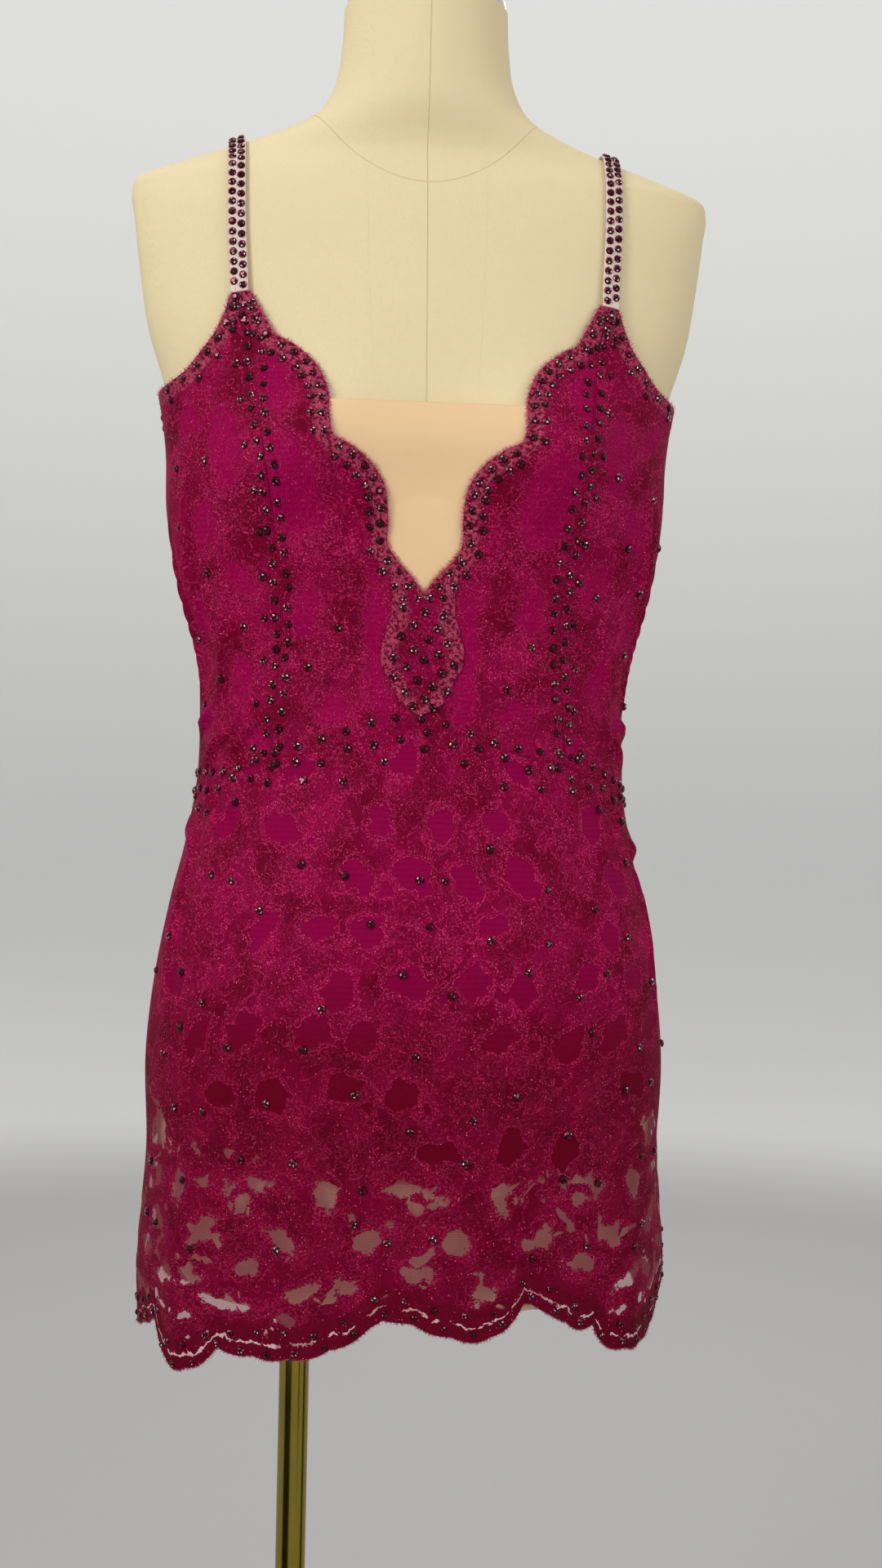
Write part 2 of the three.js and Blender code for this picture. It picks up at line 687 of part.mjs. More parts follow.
// The dress form, closed below, with its neck
function dressForm() {
  const columns = 36;
  const heights = [
    662, 668, 690, 720, 760, 800, 840, 880, 925, 970, 1015, 1060, 1100, 1145, 1185, 1220, 1250,
    1285, 1315, 1360, 1410, 1445, 1458, 1468, 1477, 1487, 1496, 1506, 1518, 1540, 1572, 1600,
  ];
  const points = [];
  for (const height of heights) {
    for (let column = 0; column < columns; column += 1) {
      points.push(outline(formSection, (column / columns) * 2 * Math.PI, height));
    }
  }
  const faces = [];
  for (let row = 0; row < heights.length - 1; row += 1) {
    for (let column = 0; column < columns; column += 1) {
      const here = row * columns + column;
      const beside = row * columns + ((column + 1) % columns);
      faces.push(here, beside, beside + columns, here, beside + columns, here + columns);
    }
  }
  const bottomCentre = points.push(new THREE.Vector3(0, 0, formBottomHeight)) - 1;
  const topCentre = points.push(new THREE.Vector3(0, 0, neckTopHeight)) - 1;
  const topRow = (heights.length - 1) * columns;
  for (let column = 0; column < columns; column += 1) {
    const beside = (column + 1) % columns;
    faces.push(beside, column, bottomCentre, topRow + column, topRow + beside, topCentre);
  }
  const geometry = new THREE.BufferGeometry();
  geometry.setAttribute('position', new THREE.Float32BufferAttribute(points.flatMap((p) => p.toArray()), 3));
  geometry.setIndex(faces);
  return named('form_torso', 'formCloth', geometry);
}

// A turned piece from a profile of radius and height, standing at a reach along X
function turned(name, finish, profile, reach, sides) {
  const geometry = new THREE.LatheGeometry(profile.map(([r, z]) => new THREE.Vector2(r, z)), sides);
  geometry.rotateX(Math.PI / 2);
  geometry.deleteAttribute('normal');
  geometry.deleteAttribute('uv');
  const mesh = named(name, finish, mergeVertices(geometry, 1e-4));
  mesh.position.set(reach, 0, 0);
  return mesh;
}

function neckCap() {
  const low = neckTopHeight + seamGap;
  const radius = 59;
  const dome = [0, 0.25, 0.5, 0.75, 1].map((share) => {
    const lift = share * Math.PI / 2;
    return [radius * Math.cos(lift), low + 5 + (capDome - 5) * Math.sin(lift)];
  });
  dome[dome.length - 1][0] = 0;
  return turned('neck_cap', 'chrome', [[0, low], [radius, low], ...dome], 0, 28);
}

function stand() {
  const socketTop = formBottomHeight - seamGap;
  const socketLow = socketTop - socketLength;
  const footTop = baseHeight + seamGap + footHeight;
  const poleTop = socketLow - seamGap;
  const poleLow = footTop + seamGap;
  const footLow = baseHeight + seamGap;
  return [
    turned('stand_socket', 'blackMetal',
      [[0, socketLow], [socketRadius, socketLow], [socketRadius, socketTop], [0, socketTop]], poleReach, 24),
    turned('stand_pole', 'brass',
      [[0, poleLow], [poleRadius, poleLow], [poleRadius, poleTop], [0, poleTop]], poleReach, 24),
    turned('stand_foot', 'brass',
      [[0, footLow], [footRadius, footLow], [footRadius - footBevel, footTop], [0, footTop]], poleReach, 32),
    turned('stand_base', 'brass',
      [[0, 0], [baseRadius, 0], [baseRadius, baseHeight - baseEdge], [baseRadius - baseEdge, baseHeight],
        [0, baseHeight]], 0, 40),
  ];
}

const dress = new THREE.Group();
dress.add(
  ...bodiceFront(1, 'right'),
  ...bodiceFront(-1, 'left'),
  bodiceBack(),
  modestyPanel(),
  applique(),
  strap(1, 'right'),
  strap(-1, 'left'),
  skirtHalf('skirt_front', -90, 90),
  skirtHalf('skirt_back', 90, 270),
  liningHalf('skirt_lining_front', -90, 90),
  liningHalf('skirt_lining_back', 90, 270),
);

const form = new THREE.Group();
form.add(dressForm(), neckCap(), ...stand());

const part = new THREE.Group();
part.add(dress, form);

export default part;
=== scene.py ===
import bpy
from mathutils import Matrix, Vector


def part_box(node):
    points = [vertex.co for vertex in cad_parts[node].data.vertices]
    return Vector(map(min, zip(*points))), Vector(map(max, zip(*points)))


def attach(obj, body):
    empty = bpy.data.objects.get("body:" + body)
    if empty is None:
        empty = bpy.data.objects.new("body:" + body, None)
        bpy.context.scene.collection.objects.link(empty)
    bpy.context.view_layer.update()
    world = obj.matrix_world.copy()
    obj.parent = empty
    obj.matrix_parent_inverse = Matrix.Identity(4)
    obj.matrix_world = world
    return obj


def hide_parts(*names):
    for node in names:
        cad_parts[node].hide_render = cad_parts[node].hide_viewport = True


bl_info = {
    "name": "Lyrical dance dress",
    "version": (1, 0, 0),
    "blender": (4, 5, 0),
    "location": "3D View > Sidebar > Dress",
    "description": "Dresses the frame of a lace dance dress on a dress form with cloth, stones and metal",
    "category": "Object",
}

import math
from collections import namedtuple

import bmesh
import bpy
import numpy as np
from mathutils import Matrix, Vector

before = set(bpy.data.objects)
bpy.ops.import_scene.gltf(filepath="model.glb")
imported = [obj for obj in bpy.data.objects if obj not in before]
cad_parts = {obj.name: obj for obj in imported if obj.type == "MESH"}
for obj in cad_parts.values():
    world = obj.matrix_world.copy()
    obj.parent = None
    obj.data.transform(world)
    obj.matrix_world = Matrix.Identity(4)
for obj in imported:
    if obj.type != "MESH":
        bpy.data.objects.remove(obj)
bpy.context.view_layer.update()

MM = 0.001
ROOT = "root"

# Cross-sections, in millimetres, of the dress and of the form under it
Section = namedtuple("Section", "height half front back square")
DRESS_SECTIONS = [Section(*row) for row in (
    (600, 188, 127, 130, 2.3), (645, 189, 126, 130, 2.3), (680, 191, 125, 130, 2.3),
    (715, 190, 124, 129, 2.3), (764, 188, 122, 130, 2.3), (830, 190, 121, 131, 2.3),
    (885, 185, 119, 127, 2.3), (945, 174, 114, 118, 2.3), (982, 165, 109, 109, 2.3),
    (1030, 157, 101, 98, 2.3), (1085, 156, 97, 92, 2.3), (1127, 159, 97, 93, 2.3),
    (1187, 176, 100, 102, 2.3), (1224, 183, 101, 107, 2.3), (1272, 185, 99, 112, 2.3),
    (1315, 192, 90, 113, 2.3), (1358, 204, 82, 110, 2.3), (1400, 211, 74, 104, 2.3),
)]
FORM_SECTIONS = [Section(*row) for row in (
    (662, 150, 92, 96, 2.2), (668, 158, 99, 103, 2.2), (700, 168, 107, 113, 2.2),
    (760, 179, 114, 122, 2.3), (830, 184, 115, 125, 2.3), (885, 180, 114, 122, 2.3),
    (945, 169, 109, 113, 2.3), (982, 160, 104, 104, 2.3), (1030, 152, 96, 93, 2.3),
    (1085, 151, 92, 87, 2.3), (1127, 154, 92, 88, 2.3), (1187, 171, 95, 97, 2.3),
    (1224, 178, 96, 102, 2.3), (1272, 179, 93, 106, 2.3), (1315, 186, 84, 108, 2.3),
    (1358, 199, 77, 105, 2.3), (1400, 206, 69, 99, 2.3), (1440, 211, 61, 91, 2.3),
    (1458, 213, 56, 85, 2.2), (1468, 209, 52, 80, 2.2), (1477, 188, 48, 75, 2.1),
    (1487, 160, 46, 70, 2.0), (1496, 132, 48, 67, 2.0), (1506, 105, 52, 65, 2.0), (1518, 83, 56, 63, 2.0),
    (1540, 68, 57, 60, 2.0), (1572, 62, 57, 58, 2.0), (1600, 60.5, 57, 57, 2.0),
)]
NECK_SEAM_FRONT = 1458
NECK_SEAM_SIDE = 1516
NECK_SEAM_BACK = 1528
NECK_SEAM_REACH = 84
BUST_REACH = 88
BUST_HEIGHT = 1262
BUST_DEPTH = 25
BUST_SPREAD = 50

# The form's rounded lower edge: where it ends, and below that the height and size of each ring
FORM_FOOT = 668.0
FORM_FOOT_RINGS = ((662, 0.90), (662.4, 0.955), (664.2, 0.985))

# Heights between which the form's shoulders and neck have closer rings
FORM_NECK = 1450
FORM_TOP = 1600

# Long soft folds: place and width round the body in degrees, heights they run between, rise
Fold = namedtuple("Fold", "angle width low high rise")
FOLDS = [Fold(*row) for row in (
    (57, 5, 1080, 1212, 2.4), (71, 4, 1098, 1240, 3.2), (-60, 5, 1072, 1226, 3.0),
    (-73, 4, 1104, 1232, 2.6), (113, 5, 1084, 1222, 2.6), (131, 6, 1068, 1176, 2.2),
    (-111, 5, 1090, 1208, 2.8), (-136, 6, 1070, 1190, 2.0), (50, 8, 520, 790, 5.0),
    (-51, 8, 520, 812, 6.0), (15, 7, 520, 742, 2.6), (-22, 8, 520, 764, 3.0), (82, 7, 520, 800, 3.4),
    (-84, 8, 520, 780, 3.0), (117, 8, 520, 806, 5.0), (-120, 8, 520, 790, 4.4), (152, 8, 520, 770, 4.0),
    (-156, 9, 520, 800, 4.6),
)]

# Short creases: place in degrees and height, half length and half width, lean from upright, rise
Crease = namedtuple("Crease", "angle height length width lean rise")
CREASES = [Crease(*row) for row in (
    (-66, 1176, 46, 5, 10, 1.8), (-78, 1150, 52, 4, -6, 1.6), (-56, 1130, 34, 5, 18, 1.4),
    (-62, 1056, 24, 4.5, 62, 1.6), (-72, 1074, 22, 4, 70, 1.3), (-48, 1064, 20, 4, 48, 1.1),
    (-58, 1002, 30, 5, -54, 1.5), (-74, 990, 28, 5, -68, 1.3), (63, 1180, 48, 5, -8, 1.7),
    (77, 1142, 50, 4, 8, 1.6), (54, 1122, 32, 5, -20, 1.2), (66, 1058, 24, 4.5, -60, 1.6),
    (76, 1072, 20, 4, -72, 1.2), (60, 1000, 30, 5, 52, 1.4), (73, 984, 26, 5, 66, 1.2),
    (20, 1098, 26, 5, -34, 0.9), (-24, 1104, 26, 5, 30, 0.9), (-68, 930, 52, 6, -4, 1.2),
    (72, 926, 54, 6, 5, 1.2), (106, 1150, 44, 5, -10, 1.7), (-104, 1160, 46, 5, 8, 1.6),
    (124, 1066, 24, 4.5, 60, 1.5), (-126, 1062, 24, 4.5, -58, 1.5), (165, 1090, 34, 6, 76, 1.2),
    (-160, 1112, 36, 6, -74, 1.2), (110, 1000, 30, 5, -50, 1.4), (-112, 996, 30, 5, 54, 1.4),
    (-38, 870, 60, 9, 14, 0.9), (34, 850, 64, 9, -12, 0.9),
)]

CREASE_DEPTH = 3.0
MM_PER_DEGREE = 2.9

# Edges and seams of the front, as reach from the centre line and height
STRAP_POINT = 1372
STRAP_POINT_INNER = 124
PRINCESS_TOP = 130.5
V_POINT = 1160
WAIST_PEAK = 1069
WAIST_SIDE = 1026
ARMPIT = 1309
MODESTY_TOP = 1291
NECK_EDGE = [
    (0, V_POINT), (9, 1172), (19, 1183), (26, 1194), (26, 1212), (29, 1233), (39, 1248), (52, 1258),
    (65, 1265), (68, 1281), (69, 1298), (78, 1318), (94, 1333), (106, 1340), (113, 1352),
    (STRAP_POINT_INNER, STRAP_POINT),
]
PRINCESS_SEAM = [
    (104, 1043.5), (100, 1088), (97.5, 1128), (98, 1160), (104, 1205), (112, 1255), (117.5, 1300),
    (122.5, 1342), (PRINCESS_TOP, STRAP_POINT),
]
ARMHOLE_EDGE = [
    (PRINCESS_TOP, STRAP_POINT), (137, 1370), (141.5, 1357), (148, 1343), (158, 1330), (169, 1318),
    (181, 1312), (190.5, ARMPIT),
]

# Seams and edges that run round the body, as degrees from the centre front and height
Round = namedtuple("Round", "angle height")
WAIST_SEAM = [Round(*row) for row in (
    (0, WAIST_PEAK), (9, 1065.5), (17, 1057.5), (25, 1051.5), (40, 1043.5), (54, 1033), (70, 1027.5),
    (90, 1026), (135, 1029), (180, 1031),
)]
BACK_EDGE = [Round(*row) for row in (
    (90, ARMPIT), (102, 1296), (118, 1284), (134, 1277), (142, 1276), (152, 1256), (164, 1236),
    (180, 1228),
)]
LINING_EDGE = [Round(*row) for row in (
    (0, 759), (26, 764), (40, 783), (50, 801), (90, 815), (130, 800), (180, 768),
)]

# Scallops of the hem: where each begins, that notch, its lowest point and how far along that is
Scallop = namedtuple("Scallop", "start notch belly lean")
HEM = [Scallop(*row) for row in (
    (-180, 664, 640, 0.5), (-147, 662, 638, 0.5), (-114, 660, 637, 0.5), (-64, 651, 624, 0.5),
    (-41, 643, 640, 0.3), (-6, 669, 654.5, 0.64), (23, 678, 657, 0.82), (40, 658, 637, 0.3),
    (84, 688, 646, 0.56), (116, 662, 638, 0.5), (148, 660, 640, 0.5), (180, 664, 640, 0.5),
)]
HEM_BORDER = 24
SMALL_SCALLOP = 1.3
SMALL_SCALLOP_LENGTH = 24

# Openings of the skirt's lace in one repeat: turn in degrees, height, length, width, tilt
Opening = namedtuple("Opening", "turn height long wide tilt")
OPENWORK_REPEATS = 10
OPENWORK = [Opening(*row) for row in (
    (0, 744, 15, 15, 0), (-9, 722, 25, 13, 35), (9, 720, 25, 13, -35), (1, 700, 19, 12, 8),
    (-13, 690, 21, 11, -24), (14, 686, 21, 11, 24), (18, 750, 23, 13, 75),
)]

# Smooth windows of the bodice's lace, right half: reach along the cloth, height, length, width, tilt
Window = namedtuple("Window", "along height long wide tilt")
BODICE_WINDOWS = [Window(*row) for row in (
    (29, 1120, 96, 17, 88), (66, 1082, 26, 17, 20), (82, 1228, 66, 34, 74), (78, 1150, 34, 17, 100),
    (96, 1300, 44, 20, 96), (128, 1262, 52, 24, 84), (150, 1208, 34, 20, 110), (124, 1170, 28, 16, 60),
    (160, 1282, 28, 16, 50), (138, 1102, 30, 18, 96), (172, 1148, 26, 15, 80), (120, 1060, 22, 12, 10),
    (176, 1072, 24, 13, 100), (198, 1230, 34, 17, 92),
)]
# Flowers of the bodice's lace, right half: reach along the cloth, height, radius
BODICE_FLOWERS = [(64, 1120, 20), (108, 1112, 19), (62, 1192, 18), (150, 1152, 20), (118, 1216, 17),
                  (186, 1112, 19), (100, 1258, 16), (178, 1248, 18)]

# The applique below the V: half its width at each height
Slice = namedtuple("Slice", "height half")
APPLIQUE = [Slice(1077, 2), Slice(1083, 12), Slice(1096, 20), Slice(1109, 28), Slice(1118, 27),
            Slice(1136, 21), Slice(1156, 24)]
APPLIQUE_RISE = 1.15
APPLIQUE_LIFT = 1.1
APPLIQUE_STONES = [
    (-14, 1151), (1, 1148), (14, 1146), (-7, 1139), (10, 1137), (-15, 1131), (4, 1129), (17, 1127),
    (-6, 1122), (11, 1119), (-20, 1116), (1, 1115), (22, 1112), (-11, 1110), (14, 1106), (-20, 1103),
    (-3, 1101), (7, 1097), (-11, 1093), (17, 1094), (2, 1088), (-6, 1083), (8, 1082),
]

# A strap over the shoulder: turn from the front, reach and height above the form
Course = namedtuple("Course", "turn reach clear")
STRAP_COURSE = [Course(*row) for row in (
    (26.6, 130.5, 4.4), (40, 131.5, 3.2), (60, 134, 2.6), (90, 136, 2.6), (115, 132.5, 3.6),
    (140, 127, 3.2), (180, 114, 2.8), (219.4, 97, 4.9),
)]
STRAP_CENTRE = 1340
STRAP_WIDTH = 12.5
STRAP_WALL = 1.2
STRAP_STONE_ASIDE = 3.1
STRAP_STONE_PITCH = 7.6

# Stones: lift off the lace, range of sizes, and sizes at the hem and on the straps
STONE_LIFT = 0.12
STONE_SIZES = (0.86, 1.05)
HEM_STONE_SIZE = 0.80
STRAP_STONE_SIZE = 0.94

# Heights at which reach along the cloth is measured, and the limit of the lace's painted depths
SKIRT_GIRTH_LEVEL = 830
BODICE_GIRTH_LEVEL = 1150
FAR = 9.0

# Walls and lifts of the cloth from the dress's smooth face, and the welt of a seam
LACE_WALL = 1.0
RELIEF = 0.35
LINING_FACE = -2.2
LINING_INSIDE = -3.0
WELT_SIDES = 6
WELT_HALF = 0.42
WELT_RISE = 0.3

# A flat cut in metres: width, length and area of a piece of cloth
Cut = namedtuple("Cut", "width length area")


# Colours of the lace that follow from no setting: the painted shade of the low part of the skirt, the hem and
# the edges
SHADED_LOW_LINING = (0.165, 0.0003, 0.016)
LOW_SHADE = (0.05, 0.0003, 0.002)
SHADED_LOW_THREAD = (0.30, 0.010, 0.045)
HEM_BAND = (0.105, 0.0010, 0.011)
HEM_LINE = (0.66, 0.36, 0.38)
NET_COLORS = ((0.42, 0.115, 0.130), (0.20, 0.025, 0.045))
BAND_COLORS = ((0.12, 0.002, 0.022), (0.42, 0.060, 0.115))
SPECK_COLOR = (1.0, 0.20, 0.30)


class DressSettings(bpy.types.PropertyGroup):
    """Sizes and colours of the dress"""

    lace_color: bpy.props.FloatVectorProperty(
        name="Lace", description="Colour of the lace's ground", subtype="COLOR", size=3,
        min=0, max=1, default=(0.186, 0.0003, 0.027))
    thread_color: bpy.props.FloatVectorProperty(
        name="Lace thread", description="Colour of the light outline thread", subtype="COLOR", size=3,
        min=0, max=1, default=(0.66, 0.026, 0.150))
    lining_color: bpy.props.FloatVectorProperty(
        name="Lining", description="Colour of the smooth knit under the lace", subtype="COLOR", size=3,
        min=0, max=1, default=(0.262, 0.0003, 0.050))
    stone_color: bpy.props.FloatVectorProperty(
        name="Stones", description="Colour of the glass stones", subtype="COLOR", size=3,
        min=0, max=1, default=(0.050, 0.0025, 0.012))
    nude_color: bpy.props.FloatVectorProperty(
        name="Nude mesh", description="Colour of the mesh that fills the V", subtype="COLOR", size=3,
        min=0, max=1, default=(0.86, 0.60, 0.345))
    stone_size: bpy.props.FloatProperty(
        name="Stone size", description="Diameter of a stone", unit="LENGTH", min=0.002, max=0.01,
        default=0.0063)
    lash_length: bpy.props.FloatProperty(
        name="Edge thread", description="Length of the fine threads along the lace's edges",
        unit="LENGTH", min=0.0005, max=0.006, default=0.0033)
    grid_step: bpy.props.FloatProperty(
        name="Mesh step", description="Distance between the points of the lace's surface",
        unit="LENGTH", min=0.0015, max=0.01, default=0.0020)


class StageSettings(bpy.types.PropertyGroup):
    """The form, the stage and the camera"""

    form_color: bpy.props.FloatVectorProperty(
        name="Form cover", description="Colour of the dress form's cotton cover", subtype="COLOR",
        size=3, min=0, max=1, default=(0.78, 0.66, 0.41))
    brass_color: bpy.props.FloatVectorProperty(
        name="Pole", description="Colour of the brass pole and base", subtype="COLOR", size=3,
        min=0, max=1, default=(0.36, 0.275, 0.045))
    floor_color: bpy.props.FloatVectorProperty(
        name="Floor", description="Colour of the plain studio floor and wall", subtype="COLOR", size=3,
        min=0, max=1, default=(0.60, 0.60, 0.59))
    camera_distance: bpy.props.FloatProperty(
        name="Camera distance", description="Distance from the camera to the form's axis",
        unit="LENGTH", min=0.5, max=5, default=1.32)
    camera_height: bpy.props.FloatProperty(
        name="Camera height", description="Height of the camera above the floor", unit="LENGTH",
        min=0.2, max=2, default=1.03)


def smooth(rows, along, column):
    """A smooth curve through one column of a table"""
    places = np.array([getattr(row, along) for row in rows], float)
    values = np.array([getattr(row, column) for row in rows], float)
    slopes = np.diff(values) / np.diff(places)
    tangents = np.concatenate([slopes[:1], (slopes[:-1] + slopes[1:]) / 2, slopes[-1:]])

    def read(place):
        place = np.clip(place, places[0], places[-1])
        first = np.clip(np.searchsorted(places, place, side="right") - 1, 0, len(places) - 2)
        width = places[first + 1] - places[first]
        p = (place - places[first]) / width
        level = values[first] * (1 + 2 * p) * (1 - p) ** 2 + values[first + 1] * p * p * (3 - 2 * p)
        lean = tangents[first] * p * (1 - p) ** 2 - tangents[first + 1] * p * p * (1 - p)
        return level + lean * width

    return read


def section_reader(rows):
    columns = [smooth(rows, "height", name) for name in ("half", "front", "back", "square")]
    return lambda height: [column(height) for column in columns]


dress_section = section_reader(DRESS_SECTIONS)
form_section = section_reader(FORM_SECTIONS)
waist_height = smooth(WAIST_SEAM, "angle", "height")
back_height = smooth(BACK_EDGE, "angle", "height")
lining_height = smooth(LINING_EDGE, "angle", "height")
applique_half = smooth(APPLIQUE, "height", "half")
strap_reach = smooth(STRAP_COURSE, "turn", "reach")
strap_clear = smooth(STRAP_COURSE, "turn", "clear")


def bust_depth(reach, height):
    sideways = (np.abs(reach) - BUST_REACH) / BUST_SPREAD
    upwards = (height - BUST_HEIGHT) / BUST_SPREAD
    return BUST_DEPTH * np.exp(-sideways ** 2 - upwards ** 2)


def outline(section, angle, height):
    """Points of a section's outline, in millimetres"""
    half, front, back, square = section(height)
    side, fore = np.sin(angle), np.cos(angle)
    size = (np.abs(side) ** square + np.abs(fore) ** square) ** (-1 / square)
    reach = half * side * size
    depth = np.where(fore > 0, front, back) * fore * size
    out = depth + np.clip(2 * fore, 0, 1) * bust_depth(reach, height)
    return np.stack(np.broadcast_arrays(reach, -out, height), -1)


def away_from(angle, centre):
    """Degrees from a place round the body, from -180 to 180"""
    return (np.degrees(angle) - centre + 540) % 360 - 180


def fold_rise(angle, height):
    rise = np.zeros(np.broadcast(angle, height).shape)
    for fold in FOLDS:
        along = np.clip((height - fold.low) / (fold.high - fold.low), 0, 1)
        across = away_from(angle, fold.angle) / fold.width
        rise += fold.rise * np.exp(-across ** 2) * np.sin(np.pi * along) ** 2
    for crease in CREASES:
        aside = away_from(angle, crease.angle) * MM_PER_DEGREE
        up = height - crease.height
        lean = math.radians(crease.lean)
        across = (aside * math.cos(lean) - up * math.sin(lean)) / crease.width
        along = (aside * math.sin(lean) + up * math.cos(lean)) / crease.length
        ridge = np.exp(-across ** 2) - 0.45 * np.exp(-(across - 2) ** 2)
        rise += CREASE_DEPTH * crease.rise * ridge * np.exp(-along ** 2)
    return rise


def outward(section, angle, height):
    step = 0.01
    around = outline(section, angle + step, height) - outline(section, angle - step, height)
    up = outline(section, angle, height + 1) - outline(section, angle, height - 1)
    normal = np.cross(around, up)
    return normal / np.linalg.norm(normal, axis=-1, keepdims=True)


def on_dress(angle, height, lift=0.0):
    """Points and normals of the dress, raised or lowered from its outer face by a lift"""
    angle, height = np.broadcast_arrays(np.asarray(angle, float), np.asarray(height, float))
    normal = outward(dress_section, angle, height)
    rise = fold_rise(angle, height) + lift
    return outline(dress_section, angle, height) + normal * rise[..., None], normal


def angle_at(reach, height):
    """Angles at which the front has a given reach from the centre line"""
    reach, height = np.broadcast_arrays(np.asarray(reach, float), np.asarray(height, float))
    low, high = np.zeros(reach.shape), np.full(reach.shape, np.pi / 2)
    for _ in range(40):
        middle = (low + high) / 2
        short = outline(dress_section, middle, height)[..., 0] < reach
        low, high = np.where(short, middle, low), np.where(short, high, middle)
    return (low + high) / 2


def run_length(points):
    """How far along a row of points each one lies"""
    return np.concatenate([[0], np.cumsum(np.linalg.norm(np.diff(points, axis=0), axis=1))])


def spline(points, fineness=60):
    """A curve through points, read by its share of the length"""
    knots = np.array(points, float)
    ends = np.concatenate([knots[:1], knots, knots[-1:]])
    t = np.linspace(0, 1, fineness, endpoint=False)[:, None]
    runs = []
    for first, begin, end, last in zip(ends[:-3], ends[1:-2], ends[2:-1], ends[3:]):
        lean_in, lean_out = (end - first) / 2, (last - begin) / 2
        runs.append((2 * begin - 2 * end + lean_in + lean_out) * t ** 3
                    + (-3 * begin + 3 * end - 2 * lean_in - lean_out) * t ** 2 + lean_in * t + begin)
    path = np.concatenate(runs + [knots[-1:]])
    length = run_length(path)

    def read(share):
        place = np.asarray(share, float) * length[-1]
        return np.stack([np.interp(place, length, path[:, 0]), np.interp(place, length, path[:, 1])], -1)

    read.length = length[-1]
    return read


neck_curve = spline(NECK_EDGE)
princess_curve = spline(PRINCESS_SEAM)
armhole_curve = spline(ARMHOLE_EDGE)


def from_front(turn):
    """Degrees between a turn and the front, from 0 to 180"""
    return np.abs((turn + 180) % 360 - 180)


def hem_height(turn):
    """Height of the scalloped hem at a turn in degrees"""
    starts, notches, bellies, leans = np.array(HEM, float).T
    turn = (np.asarray(turn, float) + 180) % 360 - 180
    row = np.clip(np.searchsorted(starts, turn, side="right") - 1, 0, len(HEM) - 2)
    share = (turn - starts[row]) / (starts[row + 1] - starts[row])
    leaned = np.clip(share, 1e-6, 1) ** (math.log(0.5) / np.log(leans[row]))
    fullness = 1 - np.abs(2 * leaned - 1) ** 2.2
    ends = notches[row] * (1 - share) + notches[row + 1] * share
    ripple = SMALL_SCALLOP * np.abs(np.sin(np.pi * turn * 2.93 / SMALL_SCALLOP_LENGTH))
    return ends * (1 - fullness) + bellies[row] * fullness + SMALL_SCALLOP - ripple * 1.6


def girth_reader(level):
    """Length of cloth from the centre front to an angle, at one level"""
    angles = np.linspace(-np.pi, 2 * np.pi, 2161)
    length = run_length(outline(dress_section, angles, np.full(angles.shape, float(level))))
    length -= np.interp(0, angles, length)
    return lambda angle: np.interp(angle, angles, length)


skirt_girth = girth_reader(SKIRT_GIRTH_LEVEL)
bodice_girth = girth_reader(BODICE_GIRTH_LEVEL)


def warped(along, height):
    """Places bent a little, so that motif outlines are uneven"""
    bent = along + 1.5 * np.sin(height / 6.7 + 1.1) + 0.9 * np.sin(height / 2.9 + along / 4.3)
    lifted = height + 1.4 * np.sin(along / 7.1 + 0.4) + 0.8 * np.sin(along / 3.3 - height / 5.1)
    return bent, lifted


def oval_depth(along, height, long, wide, tilt):
    """How far inside an oval each place lies, in millimetres"""
    lean = np.radians(tilt)
    x = (along * np.cos(lean) + height * np.sin(lean)) / (long / 2)
    y = (height * np.cos(lean) - along * np.sin(lean)) / (wide / 2)
    return (1 - np.hypot(x, y)) * wide / 2


def window_depth(along, height, windows, rings=()):
    """Depth inside the windows of the lace: above 0 in a window, below 0 in the lace"""
    along, height = warped(along, height)
    depth = np.full(along.shape, -FAR)
    for place, level, long, wide, tilt in windows:
        near = (np.abs(along - place) < long) & (np.abs(height - level) < long)
        inside = oval_depth(along[near] - place, height[near] - level, long, wide, tilt)
        depth[near] = np.maximum(depth[near], inside)
    for place, level, outer, inner in rings:
        away = np.hypot(along - place, height - level)
        band = away < outer + 3
        ring = np.maximum(away[band] - outer, inner - away[band])
        depth[band] = np.where(away[band] < outer, ring, np.minimum(depth[band], ring))
    return np.clip(depth, -FAR, FAR)


def nearest_flower(along, height, flowers):
    """Places as seen from the nearest flower's centre, in flower radii"""
    best = np.full(along.shape, 99.0)
    out = np.stack([best, best, np.zeros(along.shape)], -1)
    for place, level, radius in flowers:
        aside, up = (along - place) / radius, (height - level) / radius
        away = np.hypot(aside, up)
        closer = away < best
        best = np.where(closer, away, best)
        out[closer] = np.stack([aside, up, np.zeros(along.shape)], -1)[closer]
    return np.clip(out, -FAR, FAR)


